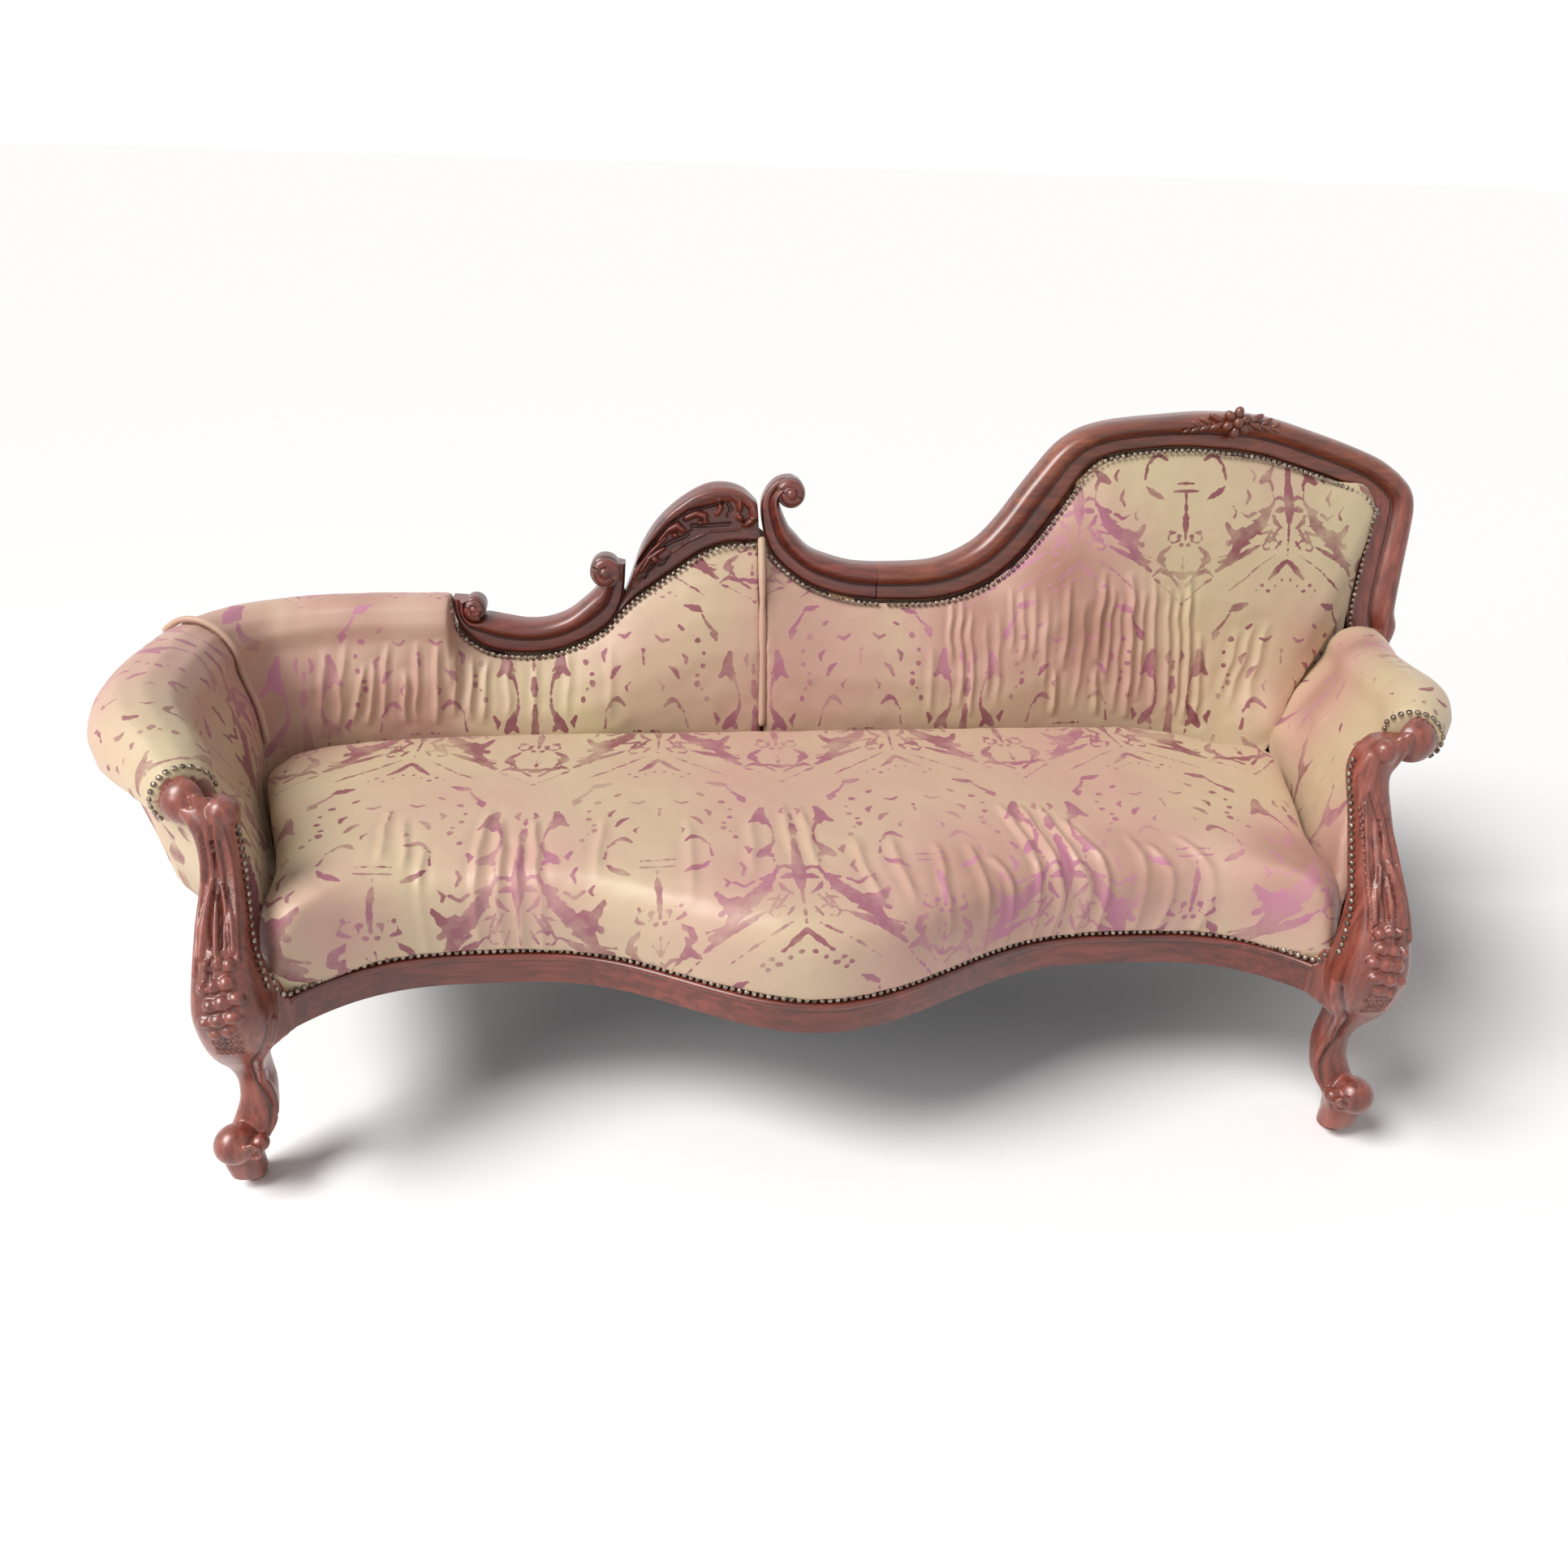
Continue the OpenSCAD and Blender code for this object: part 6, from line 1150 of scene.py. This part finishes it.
# Domes a pitch apart along a path; each stands along its outward direction
def nailRow(name, path, outward):
    places = pacePath(path, nailSettings["pitch"])
    outward = outward(places) if callable(outward) else np.tile(np.asarray(outward, float), (len(places), 1))
    outward = outward / np.linalg.norm(outward, axis=1)[:, None]
    aside = np.cross(outward, [0.31, 0.2, 0.93])
    aside /= np.linalg.norm(aside, axis=1)[:, None]
    r, rise = nailSettings["radius"], nailSettings["dome"]
    shapes = [blobShape(place + out * nailSettings["above"], [side * r, np.cross(out, side) * r, out * rise], 6, 9)
              for place, out, side in zip(places, outward, aside)]
    makePiece(name, *joinShapes(shapes), brass)


# All nail rows: front rail, show-wood, arm scrolls and posts
def buildNails():
    x = np.linspace(-700, 705, 400)
    y = railFront(x)
    lean = np.stack([np.gradient(y, x), -np.ones(len(x)), np.full(len(x), 0.55)], -1)
    path = np.stack([x, y + 5.0, np.full(len(x), 303.5)], -1)
    upturn = np.array([[718, -303, 307], [729, -300, 318], [735, -293, 334]], float)
    path = np.concatenate([upturn[::-1] * [-1, 1, 1], path, upturn])
    nailRow("frontRailNails", path, lambda places: np.stack([np.interp(places[:, 0], x, lean[:, k]) for k in range(3)], -1))
    # Along the show-wood's inner edges, a little inside them
    for name, edges in (("lowScrollNails", lowEdges[2:-22]), ("tallScrollNails", tallEdges[48:]), ("headNails", headEdges[4:]),
                        ("stileNails", stileEdges[2:58]), ("carvedCrestNails", tableEdges(carvedCrest, 12))):
        inner, outer = edges[:, 2:4], edges[:, :2]
        inward = (inner - outer) / np.linalg.norm(inner - outer, axis=1)[:, None]
        line = inner + inward * nailSettings["inside"]
        nailRow(name, onBack(line[:, 0], line[:, 1], nailSettings["stand"]), backOut)
    # Round the fabric's end behind each arm scroll, and down the seat side of the post
    for leg, knots, name in ((leftLeg, leftKnots, "leftArmNails"), (rightLeg, rightKnots, "rightArmNails")):
        side = leg["side"]
        back = armBack(side)
        across = np.array([back[1] * side, -back[0] * side, 0])
        turn = np.radians(np.linspace(-35, 172, 90))
        middle = scrollCentre(leg) + back * (13 if side < 0 else 7)
        rays = np.cos(turn)[:, None] * across + np.sin(turn)[:, None] * np.array([0, 0, 1])
        # The pad's farthest point in a thin slice, at each angle
        pad = readPlaces(armPads[side]) - middle
        pad = pad[np.abs(pad @ back) < 5]
        around, away = np.arctan2(pad[:, 2], pad @ across), np.hypot(pad[:, 2], pad @ across)
        reach = np.array([away[(away < 64) & (np.abs(around - angle) < 0.12)].max(initial=0) for angle in turn])
        ring = (middle + rays * reach[:, None])[reach > 25]
        nailRow(name + "Scroll", ring, lambda places, middle=middle, back=back: places - middle - back * 12)
        post = ringPoint(leg, knots, 176, np.linspace(leg["top"] - 26, 345, 60), 1.03)
        nailRow(name + "Post", post, [-side, -0.5, 0])


buildNails()
print("nailheads")


# Hidden and carried-over parts get their own finishes: planed beech, jute, spring steel, black cotton cloth
def plainFinish(name, low, high, scale, stretch, rough, metal=0.0, depth=0.0003):
    material, tree = newMaterial(name)
    place = addNode(tree, "TexCoord")
    grain = addNode(tree, "Mapping", Vector=place.outputs["Object"], Scale=stretch)
    noise = addNode(tree, "TexNoise", Vector=grain.outputs[0], Scale=scale, Detail=5.0, Roughness=0.6)
    ramp = addRamp(tree, noise.outputs["Fac"], [(0.35, low), (0.65, high)])
    bump = addNode(tree, "Bump", Height=noise.outputs["Fac"], Strength=0.35, Distance=depth)
    shader = addNode(tree, "BsdfPrincipled", Base_Color=ramp.outputs[0], Metallic=metal, Roughness=rough, Normal=bump.outputs[0])
    closeMaterial(tree, shader)
    return material


beech = plainFinish("planed beech", "#B98F63", "#D3B088", 14.0, (1.5, 9, 9), 0.6)
jute = plainFinish("woven jute", "#8E7448", "#B99C6A", 260.0, (1, 1, 1), 0.9, 0.0, 0.0008)
steel = plainFinish("coppered spring steel", "#8B6B50", "#B08A68", 60.0, (1, 1, 1), 0.38, 1.0)
blackCotton = plainFinish("black cotton bottom cloth", "#141313", "#26231F", 300.0, (1, 1, 1), 0.92)
finishes = [
    (beech, ["rail_left", "rail_right", "rail_rear", "seat_braces", "corner_blocks", "back_post_corner", "back_post_left",
             "back_post_middle", "back_post_head", "low_back_rail", "tack_rail", "arm_rail_left", "arm_rail_right",
             "arm_upright_left", "arm_upright_right", "rail_dowels"]),
    (steel, ["corner_screws", "seat_springs"]), (jute, ["seat_webbing", "back_webbing", "spring_hessian"]),
    (legWood, ["leg_rear_left", "leg_rear_right"])]
for finish, finished in finishes:
    for node in finished:
        nodes[node].data.materials.clear()
        nodes[node].data.materials.append(finish)


# Bottom cloth with small waves, up or down by noise
def dressDustCover():
    piece = copyNode("dust_cover", "bottomCloth", blackCotton)
    splitFaces(piece, 4, "SIMPLE")
    points = readPlaces(piece)
    points[:, 2] += 0.9 * softNoise(points[:, 0], points[:, 1], 80, 41)
    writePlaces(piece, points)
    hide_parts("dust_cover")


dressDustCover()
print("hidden parts")


# Stage: pale floor that shows white to the camera but keeps the shadow, white surround, soft lamps
def buildStage():
    material, tree = newMaterial("white studio floor")
    shader = addNode(tree, "BsdfDiffuse", Color=toLinear("#FFFFFF"))
    closeMaterial(tree, shader)
    mesh = bpy.data.meshes.new("studioFloor")
    mesh.from_pydata([(-40, -30, 0), (40, -30, 0), (40, 60, 0), (-40, 60, 0)], [], [(0, 1, 2, 3)])
    mesh.materials.append(material)
    addObject("studioFloor", mesh)
    world = bpy.data.worlds.new("white surround")
    bpy.context.scene.world = world
    world.use_nodes = True
    world.node_tree.nodes.clear()
    tree = world.node_tree
    rays = addNode(tree, "LightPath")
    seen = addNode(tree, "Math", {"operation": "MAXIMUM"}, i0=rays.outputs["Is Camera Ray"], i1=rays.outputs["Is Glossy Ray"])
    light = addNode(tree, "Background", Color=toLinear("#FAFAFC"), Strength=0.3)
    white = addNode(tree, "Background", Color=(1, 1, 1, 1), Strength=1.0)
    mixed = addNode(tree, "MixShader", i0=seen.outputs[0], i1=light.outputs[0], i2=white.outputs[0])
    addNode(tree, "OutputWorld", Surface=mixed.outputs[0])


sun = {"from": (-0.74, -0.24, 1.0), "strength": 2.78, "spread": 28, "colour": "#FFFEFC"}
lamps = [{"name": "windowLamp", "place": (-2.3, -1.5, 1.7), "aim": (-0.2, -0.1, 0.45), "size": (0.7, 0.9), "watts": 14,
          "colour": "#FFFDFB"},
         {"name": "frontLamp", "place": (0.5, -3.2, 1.5), "aim": (0.3, 0.0, 0.5), "size": (0.9, 0.7), "watts": 2,
          "colour": "#FDFDFF"}]


# The low sun through a wide window, and two soft lamps that face their aims
def buildLamps():
    data = bpy.data.lights.new("studioSun", "SUN")
    data.energy, data.angle, data.color = sun["strength"], math.radians(sun["spread"]), toLinear(sun["colour"])[:3]
    addObject("studioSun", data).rotation_euler = Vector(sun["from"]).to_track_quat("Z", "Y").to_euler()
    for lamp in lamps:
        data = bpy.data.lights.new(lamp["name"], "AREA")
        data.shape, data.size, data.size_y = "RECTANGLE", *lamp["size"]
        data.energy, data.color = lamp["watts"], toLinear(lamp["colour"])[:3]
        holder = addObject(lamp["name"], data)
        holder.location = lamp["place"]
        holder.rotation_euler = (Vector(lamp["aim"]) - Vector(lamp["place"])).to_track_quat("-Z", "Y").to_euler()


# Camera of the photograph: place in metres, angles in radians, lens in mm on a 36 mm frame
photoView = {"place": (-0.25103, -1.68116, 1.33691), "yaw": 0.107564, "pitch": 0.488432, "roll": 0.032811, "lens": 28.148}


# The photograph's camera: its view direction from yaw and pitch, then turned by the roll
def buildCamera():
    yaw, pitch, roll = (photoView[k] for k in ("yaw", "pitch", "roll"))
    ahead = Vector((math.sin(yaw) * math.cos(pitch), math.cos(yaw) * math.cos(pitch), -math.sin(pitch)))
    level = Vector((math.cos(yaw), -math.sin(yaw), 0))
    up = level.cross(ahead)
    right = math.cos(roll) * level + math.sin(roll) * up
    up = math.cos(roll) * up - math.sin(roll) * level
    data = bpy.data.cameras.new("photoCamera")
    data.lens, data.sensor_width = photoView["lens"], 36
    camera = addObject("photoCamera", data)
    camera.matrix_world = Matrix.Translation(Vector(photoView["place"])) @ Matrix((right, up, -ahead)).transposed().to_4x4()
    bpy.context.scene.camera = camera


buildStage()
buildLamps()
buildCamera()
bpy.context.scene.view_settings.view_transform = "Standard"
print("stage, lamps and camera")
